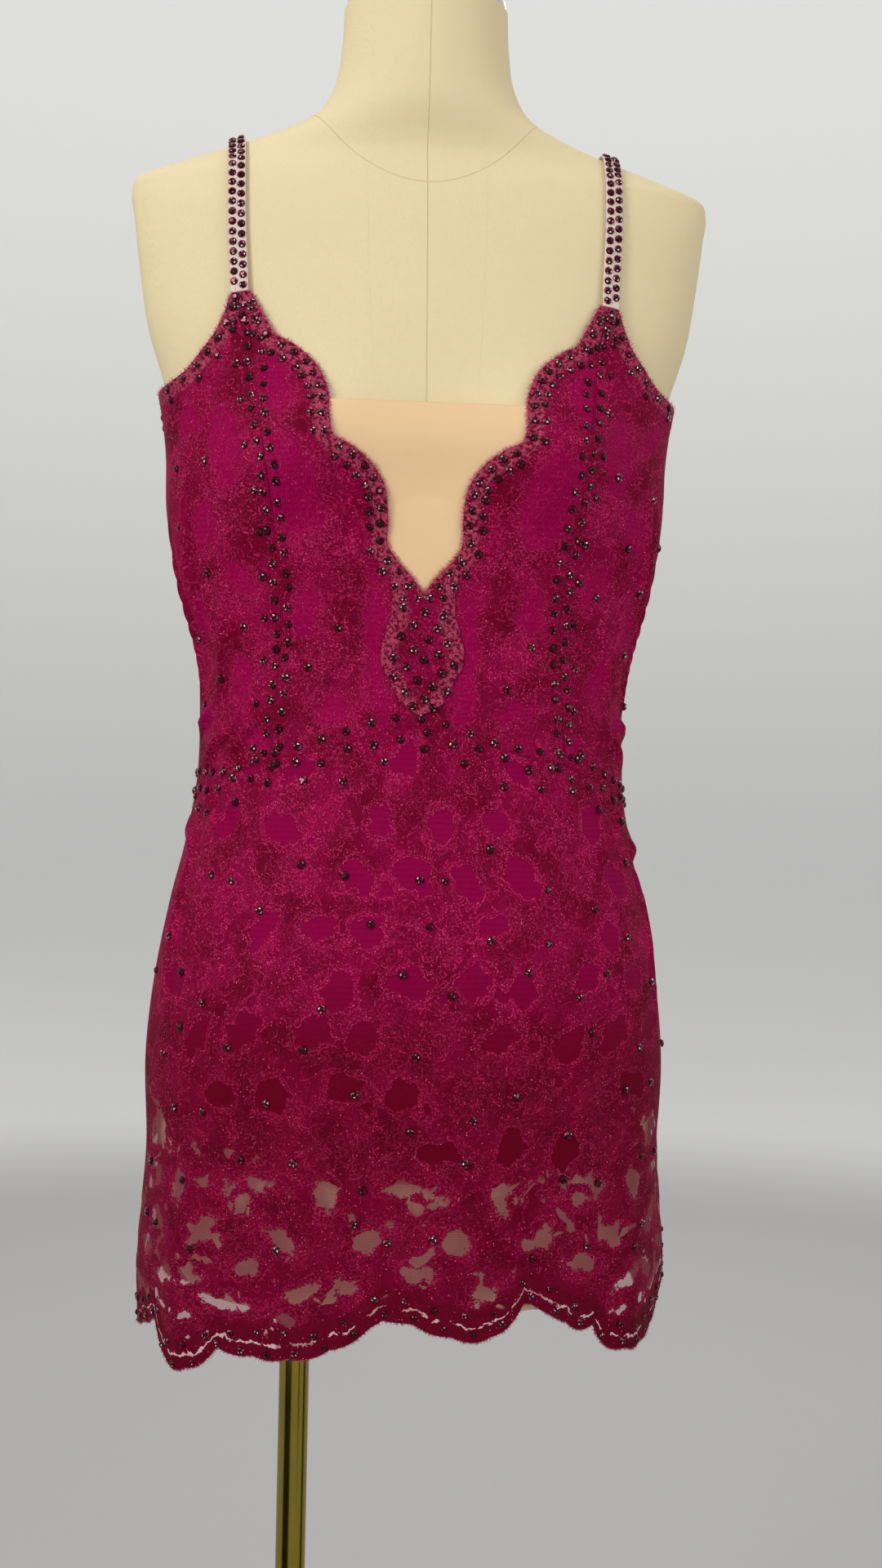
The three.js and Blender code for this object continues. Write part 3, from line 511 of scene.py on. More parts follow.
def skirt_lace():
    """Windows, rings and flowers of the skirt's lace, laid out over the whole girth"""
    rng = np.random.default_rng(7)
    windows, rings, flowers = [], [], []
    for repeat in range(OPENWORK_REPEATS):
        centre = repeat * 360 / OPENWORK_REPEATS
        for hole in OPENWORK:
            turn = (centre + hole.turn + 90) % 360 - 90
            place = float(skirt_girth(math.radians(turn)))
            if hole.height <= hem_height(turn) + HEM_BORDER:
                continue
            if hole.long == hole.wide:
                rings.append((place, hole.height, hole.wide / 2 + 3.6, hole.wide / 2 - 1.2))
                windows.append((place + 3, hole.height + 9, 42, 17, 6 if repeat % 2 else -8))
            else:
                windows.append((place, hole.height, hole.long * 1.12, hole.wide * 1.14, hole.tilt))
        for turn, up, long, wide, tilt in ((-4, 30, 34, 11, 4), (11, 27, 15, 8, -20), (-15, 34, 13, 7, 30)):
            turn = (centre + turn + 90) % 360 - 90
            level = float(hem_height(turn)) + up + rng.uniform(-2, 3)
            if level < 682:
                place = float(skirt_girth(math.radians(turn)))
                windows.append((place, level, long, wide, tilt + rng.uniform(-9, 9)))
    pitch, rise = 45.0, 37.0
    first, last = float(skirt_girth(-np.pi / 2)), float(skirt_girth(1.5 * np.pi))
    columns = round((last - first) / pitch)
    pitch = (last - first) / columns
    for row in range(8):
        for column in range(columns + 1):
            place = first + (column + 0.5 * (row % 2)) * pitch + rng.uniform(-7, 7)
            level = 782 + row * rise + rng.uniform(-7, 7)
            long, wide, tilt = rng.uniform(23, 34), rng.uniform(18, 25), rng.uniform(-50, 80)
            if rng.random() < 0.66:
                windows.append((place, level, long, wide, tilt))
                if rng.random() < 0.3:
                    windows.append((place + long * 0.75, level - 9, 12, 8, tilt + 60))
            else:
                flowers.append((place, level, rng.uniform(17, 22)))
    for repeat in range(OPENWORK_REPEATS):
        place = float(skirt_girth(math.radians((repeat + 0.5) * 36 - 90)))
        flowers.append((place, 704 + 6 * (repeat % 3), 19))
    return windows, rings, flowers


def bodice_lace():
    """Windows and flowers of the bodice's lace: the front as listed, and like ones on the back"""
    rng = np.random.default_rng(11)
    windows, flowers = [], []
    for side in (-1, 1):
        for window in BODICE_WINDOWS:
            shift = rng.uniform(-4, 4, 2)
            windows.append((side * window.along + shift[0], window.height + shift[1], window.long,
                            window.wide, side * window.tilt))
        for place, level, radius in BODICE_FLOWERS:
            flowers.append((side * place + rng.uniform(-3, 3), level, radius))
    start, end = float(bodice_girth(math.pi / 2)), float(bodice_girth(1.5 * math.pi))
    for row in range(7):
        for column in range(10):
            place = start + 20 + (column + 0.5 * (row % 2)) * (end - start - 20) / 10 + rng.uniform(-6, 6)
            level = 1048 + row * 38 + rng.uniform(-6, 6)
            if rng.random() < 0.62:
                windows.append((place, level, rng.uniform(20, 38), rng.uniform(13, 19),
                                rng.uniform(50, 120)))
            else:
                flowers.append((place, level, rng.uniform(16, 20)))
    return windows, flowers


def plain_object(name, mesh, made, slot=None, stands_for=None):
    """Link an object, and where it has a slot let it ride the body and stand for its node"""
    piece = bpy.data.objects.new(name, mesh)
    bpy.context.scene.collection.objects.link(piece)
    if made and not mesh.materials:
        mesh.materials.append(made)
    if slot:
        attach(piece, ROOT)
    if stands_for:
        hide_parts(stands_for)
    return piece


def grid_faces(index):
    return np.stack([index[:-1, :-1], index[:-1, 1:], index[1:, 1:], index[1:, :-1]], -1).reshape(-1, 4)


def ring_index(rows, sides):
    """The numbers of stacked rings of points, with each ring's first point again at its end"""
    index = np.arange(rows * sides).reshape(rows, sides)
    return np.concatenate([index, index[:, :1]], axis=1)


def build_mesh(name, points, faces, cloth=None, layers=None):
    """A smooth mesh from points in millimetres, with its cloth coordinates and named layers"""
    mesh = bpy.data.meshes.new(name)
    mesh.from_pydata((points.reshape(-1, 3) * MM).tolist(), [], [list(map(int, f)) for f in faces])
    mesh.update()
    if cloth is not None:
        corners = np.empty(len(mesh.loops), np.int32)
        mesh.loops.foreach_get("vertex_index", corners)
        layer = mesh.uv_layers.new(name="cloth")
        layer.data.foreach_set("uv", (cloth.reshape(-1, 2)[corners] * MM).ravel().astype(np.float32))
    for key, values in (layers or {}).items():
        flat = np.asarray(values, np.float32)
        vectors = flat.ndim > 1 and flat.shape[-1] == 3
        kind, field = ("FLOAT_VECTOR", "vector") if vectors else ("FLOAT", "value")
        mesh.attributes.new(key, kind, "POINT").data.foreach_set(field, flat.reshape(-1))
    mesh.shade_smooth()
    return mesh


def sheet_mesh(name, points, cloth, layers):
    """One layer of cloth from a grid of points"""
    rows, columns = points.shape[:2]
    index = np.arange(rows * columns).reshape(rows, columns)
    return build_mesh(name, points, grid_faces(index), cloth, layers)


def wall_mesh(name, outer, inner, cloth, layers):
    """A closed wall between two grids of points"""
    rows, columns = outer.shape[:2]
    front = np.arange(rows * columns).reshape(rows, columns)
    back = front + rows * columns
    rim = np.concatenate([front[0, :], front[1:, -1], front[-1, -2::-1], front[-2:0:-1, 0]])
    ahead = np.roll(rim, -1)
    side = np.stack([ahead, rim, rim + rows * columns, ahead + rows * columns], -1)
    faces = np.concatenate([grid_faces(front), grid_faces(back)[:, ::-1], side])
    layers = {key: np.stack([value, value]) for key, value in layers.items()}
    return build_mesh(name, np.stack([outer, inner]), faces, np.stack([cloth, cloth]), layers)


class Value:
    """What a node puts out. Plain arithmetic on it places Math nodes, and a bar takes the larger."""

    def __init__(self, graph, socket):
        self.graph = graph
        self.socket = socket

    def __add__(self, other):
        return self.graph.math("ADD", self, other)

    def __sub__(self, other):
        return self.graph.math("SUBTRACT", self, other)

    def __mul__(self, other):
        return self.graph.math("MULTIPLY", self, other)

    def __or__(self, other):
        return self.graph.math("MAXIMUM", self, other)

    def __abs__(self):
        return self.graph.math("ABSOLUTE", self)

    def sine(self):
        return self.graph.math("SINE", self)

    def step(self, low, high, out_low=0.0, out_high=1.0):
        """A soft step from one value at the low end to another at the high end"""
        node = self.graph.node("ShaderNodeMapRange", interpolation_type="SMOOTHSTEP")
        return self.graph.wire(node, self, low, high, out_low, out_high)


class Graph:
    """Shorthand for building a node tree"""

    def __init__(self, tree):
        self.tree = tree

    def node(self, kind, **settings):
        node = self.tree.nodes.new(kind)
        for key, value in settings.items():
            setattr(node, key, value)
        return node

    def feed(self, socket, value):
        value = getattr(value, "socket", value)
        if isinstance(value, bpy.types.NodeSocket):
            self.tree.links.new(value, socket)
        else:
            socket.default_value = value

    def wire(self, node, *values):
        """Feed a node's inputs in their order and give its first output"""
        for socket, value in zip(node.inputs, values):
            self.feed(socket, value)
        return Value(self, node.outputs[0])

    def math(self, operation, *values):
        return self.wire(self.node("ShaderNodeMath", operation=operation), *values)

    def vector(self, operation, *values):
        return self.wire(self.node("ShaderNodeVectorMath", operation=operation), *values)

    def scaled(self, vector, factor):
        node = self.node("ShaderNodeVectorMath", operation="SCALE")
        self.feed(node.inputs["Scale"], factor)
        return self.wire(node, vector)

    def blend(self, share, first, second):
        """A mix of two colours, each a node's output or three numbers"""
        node = self.node("ShaderNodeMix", data_type="RGBA")
        self.feed(node.inputs["Factor"], share)
        for socket, color in zip((node.inputs[6], node.inputs[7]), (first, second)):
            self.feed(socket, color if isinstance(color, Value) else (*color, 1.0))
        return Value(self, node.outputs[2])

    def attribute(self, name, output="Fac"):
        return Value(self, self.node("ShaderNodeAttribute", attribute_name=name).outputs[output])

    def place(self):
        return Value(self, self.node("ShaderNodeTexCoord").outputs["Object"])

    def cloth(self):
        return Value(self, self.node("ShaderNodeUVMap", uv_map="cloth").outputs[0])

    def noise(self, vector, scale, detail=2.0, distortion=0.0, output=0):
        node = self.node("ShaderNodeTexNoise")
        for key, value in (("Vector", vector), ("Scale", scale), ("Detail", detail),
                           ("Distortion", distortion)):
            self.feed(node.inputs[key], value)
        return Value(self, node.outputs[output])

    def split(self, vector):
        node = self.node("ShaderNodeSeparateXYZ")
        self.feed(node.inputs[0], vector)
        return [Value(self, socket) for socket in node.outputs]

    def pattern(self, name, place, **values):
        """Place a pattern's group, built when it is first asked for"""
        if name not in PATTERNS:
            PATTERNS[name] = PATTERN_MAKERS[name]()
        node = self.node("ShaderNodeGroup", node_tree=PATTERNS[name])
        for key, value in {"place": place, **values}.items():
            self.feed(node.inputs[key.capitalize()], value)
        return Value(self, node.outputs[0])

    def finish(self, value):
        self.feed(self.node("NodeGroupOutput").inputs[0], value)
        return self.tree


def tint(color, *factors):
    """A colour with its parts multiplied, by one factor or by three"""
    return tuple(part * factor for part, factor in zip(color, factors if len(factors) == 3 else factors * 3))


def pattern_group(name, output, pitch, periods=1000.0, **more):
    """A shader group for a pattern with a pitch in millimetres: its graph, inputs and spread places"""
    tree = bpy.data.node_groups.new(name, "ShaderNodeTree")
    tree.interface.new_socket("Place", in_out="INPUT", socket_type="NodeSocketVector")
    for label, default in {"Pitch": pitch, **more}.items():
        socket = tree.interface.new_socket(label, in_out="INPUT", socket_type="NodeSocketFloat")
        socket.default_value = default
    tree.interface.new_socket(output, in_out="OUTPUT", socket_type="NodeSocketFloat")
    graph = Graph(tree)
    given = graph.node("NodeGroupInput").outputs
    return graph, given, graph.scaled(given["Place"], graph.math("DIVIDE", periods, given["Pitch"]))


def thread_group():
    """Meandering fine threads, drawn as level lines of a noise"""
    graph, given, spread = pattern_group("meandering_threads", "Thread", 2.0, Width=0.1)
    first = graph.noise(spread, 0.8, 0.5, 1.1)
    second = graph.noise(spread, 1.3, 0.0, 0.7)
    low, high, between = [abs(value - level).step(given["Width"], graph.math("MULTIPLY", given["Width"], 0.4))
                          for value, level in ((first, 0.41), (first, 0.58), (second, 0.5))]
    return graph.finish(low | high | between * 0.7)


def glitter_group():
    """Sparse bright specks of glitter thread"""
    graph, given, spread = pattern_group("glitter_specks", "Speck", 2.0, Share=0.3)
    cells = graph.node("ShaderNodeTexVoronoi", feature="F1")
    graph.feed(cells.inputs["Vector"], spread)
    cells.inputs["Scale"].default_value = 1.0
    near = Value(graph, cells.outputs["Distance"]).step(0.17, 0.09)
    chosen = graph.math("LESS_THAN", graph.split(cells.outputs["Color"])[0], given["Share"])
    return graph.finish(near * chosen)


def knit_group():
    """Fine wales of a smooth knit, as a height"""
    graph, _, spread = pattern_group("knit_wales", "Height", 0.8, TURNS)
    aside, up, _ = graph.split(spread)
    across = aside.sine()
    along = (across * 0.8 + up * 0.8).sine()
    return graph.finish(along * 0.35 + abs(across))


def net_group():
    """Zigzag threads of a fine net"""
    graph, _, spread = pattern_group("zigzag_net", "Thread", 1.3)
    aside, up, _ = graph.split(spread)
    zig = graph.math("PINGPONG", aside * 0.7, 0.5)
    rows = graph.math("PINGPONG", zig * 1.5 + up, 0.5)
    return graph.finish(rows.step(0.24, 0.09))


def weave_group():
    """Plain weave of a cotton cover, as a height"""
    graph, _, spread = pattern_group("plain_weave", "Height", 0.9, TURNS)
    x, y, z = graph.split(spread)
    return graph.finish((x + y).sine() * z.sine())


# Radians in a metre of cloth at a pitch of one millimetre, and the patterns built so far
TURNS = 6283.0
PATTERNS = {}
PATTERN_MAKERS = {"thread": thread_group, "glitter": glitter_group, "knit": knit_group, "net": net_group,
                  "weave": weave_group}


def material(name, **sockets):
    """A material with its Principled shader; sockets set plain values"""
    made = bpy.data.materials.new(name)
    made.use_nodes = True
    shader = made.node_tree.nodes["Principled BSDF"]
    for key, value in sockets.items():
        shader.inputs[key.replace("_", " ")].default_value = value
    return made, Graph(made.node_tree), shader.inputs


def raise_by(graph, inputs, height, distance, strength=1.0):
    bump = graph.node("ShaderNodeBump")
    for key, value in (("Strength", strength), ("Distance", distance), ("Height", height)):
        graph.feed(bump.inputs[key], value)
    graph.feed(inputs["Normal"], bump.outputs[0])


def flower_threads(graph, finely):
    """Threads of the flowers: five petals with veins, two rims and a heart"""
    sway = graph.vector("MULTIPLY_ADD", graph.noise(finely, 0.16, output=1),
                        (0.7, 0.7, 0.0), (-0.35, -0.35, 0.0))
    aside, up, _ = graph.split(graph.vector("ADD", graph.attribute("bloom", "Vector"), sway))
    radius = graph.math("SQRT", aside * aside + up * up)
    angle = graph.math("ARCTAN2", up, aside)
    petal = abs(graph.math("COSINE", angle * 2.5)) * 0.42 + 0.58
    short = petal - radius
    rim = abs(short).step(0.06, 0.02)
    inner_rim = abs(short - 0.17).step(0.045, 0.015)
    veins = ((radius * 9.0).sine() * 0.8 + angle * 30.0).sine().step(0.35, 0.95)
    veins = veins * short.step(-0.02, 0.05) * 0.6
    heart = abs(radius - 0.17).step(0.06, 0.02)
    return rim | heart | veins | inner_rim


def lace_material(name, sheer):
    """Lace with its threads, flowers, windows, edge band and glitter. Sheer lace has open net in its
    windows, and lined lace shows the smooth knit there."""
    given = bpy.context.scene.dance_dress
    made, graph, inputs = material(name, Roughness=0.62, Specular_IOR_Level=0.03)
    cloth = graph.cloth()
    finely = graph.scaled(cloth, 1000.0)
    level = graph.split(cloth)[1]
    edge = graph.attribute("edge")

    # Windows: the painted depth with an uneven, frayed outline
    waver = graph.noise(finely, 0.10, 1.0) * 14.0 - (8.2 if sheer else 7.0)
    frayed = graph.noise(finely, 0.50) * 5.0 - 2.5
    depth = graph.attribute("window") + (waver + frayed)
    if sheer:
        uneven = graph.noise(finely, 0.06) * 44.0 - 22.0
        unlined = (graph.attribute("lined") + uneven).step(1.0, 0.0)
        blotch = graph.noise(finely, 0.055, 2.0, 0.8) * 80.0 - 52.5
        depth = depth | blotch * unlined + (unlined * 9.0 - 9.0) + frayed
    soft = 0.6 if sheer else 2.4
    window = depth.step(-soft, soft)
    covered = window * (-1.0 if sheer else -0.5) + 1.0
    rim_thread = abs(depth + 1.3).step(1.3, 0.4) | abs(depth + 4.2).step(1.1, 0.3) * 0.8

    # Threads: fine meanders all over, broader ones and the outlines of the motifs, all broken up
    fine = graph.pattern("thread", cloth, pitch=3.0, width=0.048)
    broad = graph.pattern("thread", cloth, pitch=12.0, width=0.020)
    patchy = graph.noise(cloth, 34.0).step(0.38, 0.64, 0.05, 0.55 if sheer else 0.75)
    breaks = graph.noise(finely, 0.60, 1.0).step(0.44, 0.56, 0.05, 1.0)
    beads = graph.noise(finely, 0.7, 1.0).step(0.44, 0.58, 0.05, 0.95)
    outlines = broad * 0.8 | flower_threads(graph, finely) | rim_thread * (1.0 if sheer else 0.6)
    drawn = (fine * breaks * patchy | outlines * beads) * covered
    specks = graph.pattern("glitter", cloth, pitch=2.2, share=0.26) * (covered * 0.9 + 0.1)

    # Colours: mottled ground, smooth knit in the windows with painted shade and highlight on its wales, pale
    # thread and bright specks, and painted shade low down
    cloud = graph.noise(cloth, 30.0).step(0.3, 0.7)
    ground = graph.blend(cloud, tint(given.lace_color, 0.62, 0.6, 0.50),
                         tint(given.lace_color, 1.12, 1.2, 1.25))
    # The knit's wales: painted shade in their valleys and painted highlight on their ridges
    shaded_valley, ridge = (0.78, (1.10, 1.1, 1.2)) if sheer else (0.82, (1.18, 1.15, 1.30))
    lining = graph.blend(graph.pattern("knit", cloth, pitch=3.2) * 0.8, tint(given.lining_color, shaded_valley),
                         tint(given.lining_color, *ridge))
    # Painted shade low on the skirt: below a height the knit, the lace and its thread are painted darker
    lining = graph.blend(level.step(0.80, 0.94), SHADED_LOW_LINING, lining)
    shade = level.step(0.80, 0.93, 0.35, 1.0)
    color = graph.blend(window, ground, lining)
    color = graph.blend(shade, graph.blend(0.55, color, LOW_SHADE), color)
    color = graph.blend(drawn * 0.76, color, graph.blend(shade, SHADED_LOW_THREAD, given.thread_color))
    if sheer:
        net = graph.pattern("net", cloth, pitch=1.6)
        color = graph.blend(edge.step(25.0, 18.0) * 0.75, color, HEM_BAND)
        path = graph.noise(finely, 0.55, 1.0) * 3.0 + (graph.noise(finely, 0.10) * 9.0 + 3.1)
        line = abs(edge - path).step(0.85, 0.40) * graph.noise(cloth, 110.0).step(0.44, 0.50)
        open_net = window * (edge.step(13.0, 19.0) * unlined) | line
        color = graph.blend(open_net, color, graph.blend(net, *NET_COLORS))
        color = graph.blend(line, color, HEM_LINE)
        graph.feed(inputs["Alpha"], open_net * (net * 0.26 + 0.46 - 1.0) + 1.0)
    else:
        band = (edge + frayed).step(13.0, 9.0)
        mottle = graph.noise(finely, 0.42, 3.0, 0.8).step(0.40, 0.60)
        color = graph.blend(band * 0.85, color, graph.blend(mottle, *BAND_COLORS))
        covered = covered | band
    graph.feed(inputs["Base Color"], graph.blend(specks, color, SPECK_COLOR))
    graph.feed(inputs["Roughness"], specks * -0.35 + 0.62)
    knit = graph.pattern("knit", cloth, pitch=1.0) * window
    raise_by(graph, inputs, knit * 0.25 + (drawn * 0.9 + covered * 0.9), 0.0004, 0.8)
    return made


def lining_material():
    given = bpy.context.scene.dance_dress
    made, graph, inputs = material("lining_knit", Roughness=0.55, Specular_IOR_Level=0.05)
    cloth = graph.cloth()
    tone = graph.blend(graph.noise(cloth, 40.0), given.lining_color, tint(given.lining_color, 0.8, 0.8, 0.85))
    hem = abs(graph.attribute("edge") - 9.0).step(0.7, 0.3)
    graph.feed(inputs["Base Color"], graph.blend(hem * 0.5, tone, tint(given.lining_color, 0.5)))
    raise_by(graph, inputs, hem * -1.5 + graph.pattern("knit", cloth, pitch=0.8), 0.0002, 0.7)
    return made


def nude_material():
    nude = bpy.context.scene.dance_dress.nude_color
    made, graph, inputs = material("nude_mesh", Roughness=0.7, Specular_IOR_Level=0.2)
    cloth = graph.cloth()
    net = graph.pattern("net", cloth, pitch=0.7)
    color = graph.blend(graph.noise(cloth, 14.0, 1.0), tint(nude, 0.93), nude)
    color = graph.blend(net * 0.35, color, tint(nude, 0.88, 0.84, 0.78))
    hem = graph.attribute("edge").step(1.6, 0.8)
    graph.feed(inputs["Base Color"], graph.blend(hem * 0.35, color, tint(nude, 0.82)))
    raise_by(graph, inputs, hem * 1.5 + net, 0.00012, 0.6)
    return made


def elastic_material():
    made, graph, inputs = material("nude_elastic", Roughness=0.48, Sheen_Weight=0.2)
    aside, along, _ = graph.split(graph.scaled(graph.cloth(), 1000.0))
    rib = graph.math("PINGPONG", aside, 0.5)
    cross = graph.math("PINGPONG", along * 1.6, 0.5)
    woven = rib * 1.2 + cross * 0.6
    graph.feed(inputs["Base Color"], graph.blend(woven, (0.60, 0.44, 0.36), (0.83, 0.68, 0.60)))
    raise_by(graph, inputs, woven, 0.0002, 0.7)
    return made


def stone_material():
    stone = bpy.context.scene.dance_dress.stone_color
    made, graph, inputs = material("garnet_stones", Roughness=0.12, IOR=1.45,
                                   Specular_Tint=(1.0, 0.30, 0.38, 1))
    # Painted reflections and glints: each facet's painted light, scaled per stone by a random glint, gives it
    # a near-black, garnet, pinkish grey or near-white colour
    painted_glint = graph.attribute("facet") * (graph.attribute("glint") * 0.85 + 0.30)
    color = graph.blend(painted_glint.step(0.10, 0.30), tint(stone, 0.3), tint(stone, 2.2))
    color = graph.blend(painted_glint.step(0.30, 0.50), color, (0.36, 0.12, 0.16))
    graph.feed(inputs["Base Color"], graph.blend(painted_glint.step(0.50, 0.90), color, (1.0, 0.86, 0.88)))
    return made


def lash_material(name, color):
    made, graph, inputs = material(name, Roughness=0.6, Sheen_Weight=0.2)
    bright = tuple(min(1.0, part) for part in tint(color, 1.5))
    mottle = graph.noise(graph.place(), 260.0, 1.0)
    graph.feed(inputs["Base Color"], graph.blend(mottle, tint(color, 0.6), bright))
    return made


def seam_material():
    """The dark closing thread of a seam in the lace, with the seam's shadow painted into its colour"""
    lace = bpy.context.scene.dance_dress.lace_color
    made, graph, inputs = material("seam_thread", Roughness=0.75, Specular_IOR_Level=0.1)
    # The seam's painted shadow and the thread's tone: the lace's colour, darker or lighter in fine patches
    tone = graph.noise(graph.cloth(), 900.0, 1.0).step(0.35, 0.65)
    graph.feed(inputs["Base Color"], graph.blend(tone, tint(lace, 0.7), tint(lace, 1.7)))
    raise_by(graph, inputs, tone, 0.0002, 0.6)
    return made


def form_material():
    cover = bpy.context.scene.dance_stage.form_color
    made, graph, inputs = material("cotton_cover", Roughness=0.85, Specular_IOR_Level=0.2)
    place = graph.place()
    color = graph.blend(graph.noise(place, 5.0, 3.0), tint(cover, 0.95, 0.94, 0.9), cover)
    fleck = graph.noise(place, 700.0, 1.0).step(0.5, 0.8)
    color = graph.blend(fleck * 0.16, color, tint(cover, 0.8))
    front, neck, side = [abs(graph.attribute(label)).step(width * 1.6, width * 0.5)
                         for label, width in (("seam_front", 0.45), ("seam_neck", 0.42), ("seam_side", 0.5))]
    seams = front | neck | side
    graph.feed(inputs["Base Color"], graph.blend(seams * 0.34, color, tint(cover, 0.62, 0.58, 0.5)))
    raise_by(graph, inputs, seams * -6.0 + graph.pattern("weave", place, pitch=0.9), 0.00012, 0.6)
    return made


def metal_material(name, color, roughness, brushed):
    made, graph, inputs = material(name, Metallic=1.0, Roughness=roughness)
    place = graph.place()
    drawn = graph.node("ShaderNodeMapping")
    drawn.inputs["Scale"].default_value = (60.0, 60.0, 1.5)
    streak = graph.noise(graph.wire(drawn, place), 9.0, 3.0)
    smear = graph.noise(place, 22.0, 3.0)
    graph.feed(inputs["Base Color"], graph.blend(smear, tint(color, 0.80), color))
    graph.feed(inputs["Roughness"], streak * brushed + (smear * 0.1 + (roughness - 0.05)))
    raise_by(graph, inputs, streak, 0.00003, 0.25)
    return made


def patch_between(left, right, bottom, top):
    """A patch between four edges, each giving angles and heights"""
    def read(across, up):
        a, u = across[..., None], up[..., None]
        start, end = left(np.zeros(1))[0], left(np.ones(1))[0]
        far_start, far_end = right(np.zeros(1))[0], right(np.ones(1))[0]
        sides = left(up) * (1 - a) + right(up) * a
        ends = bottom(across) * (1 - u) + top(across) * u
        corners = (start * (1 - a) + far_start * a) * (1 - u) + (end * (1 - a) + far_end * a) * u
        return sides + ends - corners
    return read


def as_places(edge):
    """Angles and heights from reaches and heights of the front"""
    return np.stack([angle_at(edge[..., 0], edge[..., 1]), edge[..., 1]], -1)


# How much of the centre panel's inner edge is the seam below the V
SEAM_SHARE = 0.27
PRINCESS_ANGLE = float(angle_at(*PRINCESS_SEAM[0]))


def waist_places(angle):
    return np.stack([angle, waist_height(np.abs(np.degrees(angle)))], -1)


def centre_places(up):
    seam = np.clip(up / SEAM_SHARE, 0, 1)
    edge = neck_curve(np.clip((up - SEAM_SHARE) / (1 - SEAM_SHARE), 0, 1))
    low = np.stack([np.full(up.shape, 0.0002), WAIST_PEAK + (V_POINT - WAIST_PEAK) * seam], -1)
    high = as_places(np.maximum(edge, (0.03, 0)))
    return np.where((up <= SEAM_SHARE)[..., None], low, high)


def princess_places(up):
    return as_places(princess_curve(up))


def armhole_places(across):
    places = as_places(armhole_curve(across))
    places[..., 0] = np.where(across >= 1, np.pi / 2, places[..., 0])
    return places


def strap_point_places(across):
    reach = STRAP_POINT_INNER + (PRINCESS_TOP - STRAP_POINT_INNER) * across
    return as_places(np.stack([reach, np.full(across.shape, float(STRAP_POINT))], -1))


centre_patch = patch_between(
    centre_places, princess_places,
    lambda across: waist_places(PRINCESS_ANGLE * across), strap_point_places)
side_patch = patch_between(
    princess_places,
    lambda up: np.stack([np.full(up.shape, np.pi / 2), WAIST_SIDE + (ARMPIT - WAIST_SIDE) * up], -1),
    lambda across: waist_places(PRINCESS_ANGLE + (np.pi / 2 - PRINCESS_ANGLE) * across), armhole_places)


def grid(columns, rows):
    return np.meshgrid(np.linspace(0, 1, round(columns)), np.linspace(0, 1, round(rows)))


def distance_to(points, edge):
    """Shortest distance from each point to the points of an edge"""
    flat = points.reshape(-1, 3)
    best = np.full(len(flat), 99.0)
    for start in range(0, len(edge), 40):
        away = np.linalg.norm(flat[:, None, :] - edge[None, start:start + 40, :], axis=2).min(axis=1)
        best = np.minimum(best, away)
    return best.reshape(points.shape[:-1])


def edge_points(curve, side, count=240):
    """Points of the dress along a front edge curve"""
    angle, height = as_places(curve(np.linspace(0, 1, count))).T
    return on_dress(side * angle, height)[0]


def relief(window, edge):
    """How far the lace's face stands from its smooth place: less in windows, more in the edge band"""
    covered = 1 - np.clip((window + 0.8) / 1.6, 0, 1)
    return RELIEF * covered + 0.25 * np.clip((16 - edge) / 4, 0, 1) - RELIEF


def lace_panel(name, places, layout, edges, made, node):
    """A panel of lined lace: places are angles and heights, edges the points of its trimmed edges"""
    angle, height = places[..., 0], places[..., 1]
    points, normal = on_dress(angle, height)
    windows, flowers = layout
    along = bodice_girth(angle)
    window = window_depth(along, height, windows)
    edge = distance_to(points, edges)
    outer = points + normal * relief(window, edge)[..., None]
    layers = {"window": window, "edge": edge, "bloom": nearest_flower(*warped(along, height), flowers)}
    mesh = wall_mesh(name, outer, points - normal * LACE_WALL, np.stack([along, height], -1), layers)
    plain_object(name, mesh, made, "lace", node)


class DRESS_OT_form(bpy.types.Operator):
    """Make the dress form's cover with its seams"""
    bl_idname = "dress.form"
    bl_label = "Dress form"

    def execute(self, context):
        columns = 144
        turns = np.arange(columns) / columns * 2 * np.pi
        heights = np.unique(np.concatenate([np.linspace(FORM_FOOT, FORM_NECK, 190),
                                            np.linspace(FORM_NECK, FORM_TOP, 90)]))
        rings = []
        for level, size in FORM_FOOT_RINGS:
            ring = outline(form_section, turns, np.full(columns, FORM_FOOT)) * np.array([size, size, 1])
            ring[:, 2] = level
            rings.append(ring)
        points = np.concatenate([np.stack(rings), outline(form_section, *np.meshgrid(turns, heights))])
        index = ring_index(len(points), columns)
        faces = grid_faces(index).tolist() + [list(index[0, -2::-1]), list(index[-1, :-1])]
        reach, depth, height = np.moveaxis(points, -1, 0)
        neck = np.where(depth < 0, NECK_SEAM_FRONT, NECK_SEAM_BACK)
        neck = neck + (NECK_SEAM_SIDE - neck) * (reach / NECK_SEAM_REACH) ** 2
        layers = {"seam_front": reach, "seam_neck": height - neck,
                  "seam_side": np.where(np.abs(reach) > 40, depth, 90.0)}
        mesh = build_mesh("form_cover", points, faces, None, layers)
        plain_object("form_cover", mesh, form_material(), "form_cloth", "form_torso")
        return {"FINISHED"}


def turned_mesh(name, profile, reach, sides=96):
    """A turned piece from radii and heights, closed on its axis"""
    turns = np.arange(sides) / sides * 2 * np.pi
    inner = [(r, z) for r, z in profile if r > 0]
    rings = [np.stack([reach + r * np.sin(turns), -r * np.cos(turns), np.full(sides, z)], -1)
             for r, z in inner]
    points = np.concatenate(rings + [np.array([[reach, 0, profile[0][1]], [reach, 0, profile[-1][1]]])])
    index = ring_index(len(inner), sides)
    low, high = len(points) - 2, len(points) - 1
    faces = grid_faces(index).tolist()
    faces += [(second, first, low) for first, second in zip(index[0, :-1], index[0, 1:])]
    faces += [(first, second, high) for first, second in zip(index[-1, :-1], index[-1, 1:])]
    return build_mesh(name, points, faces)


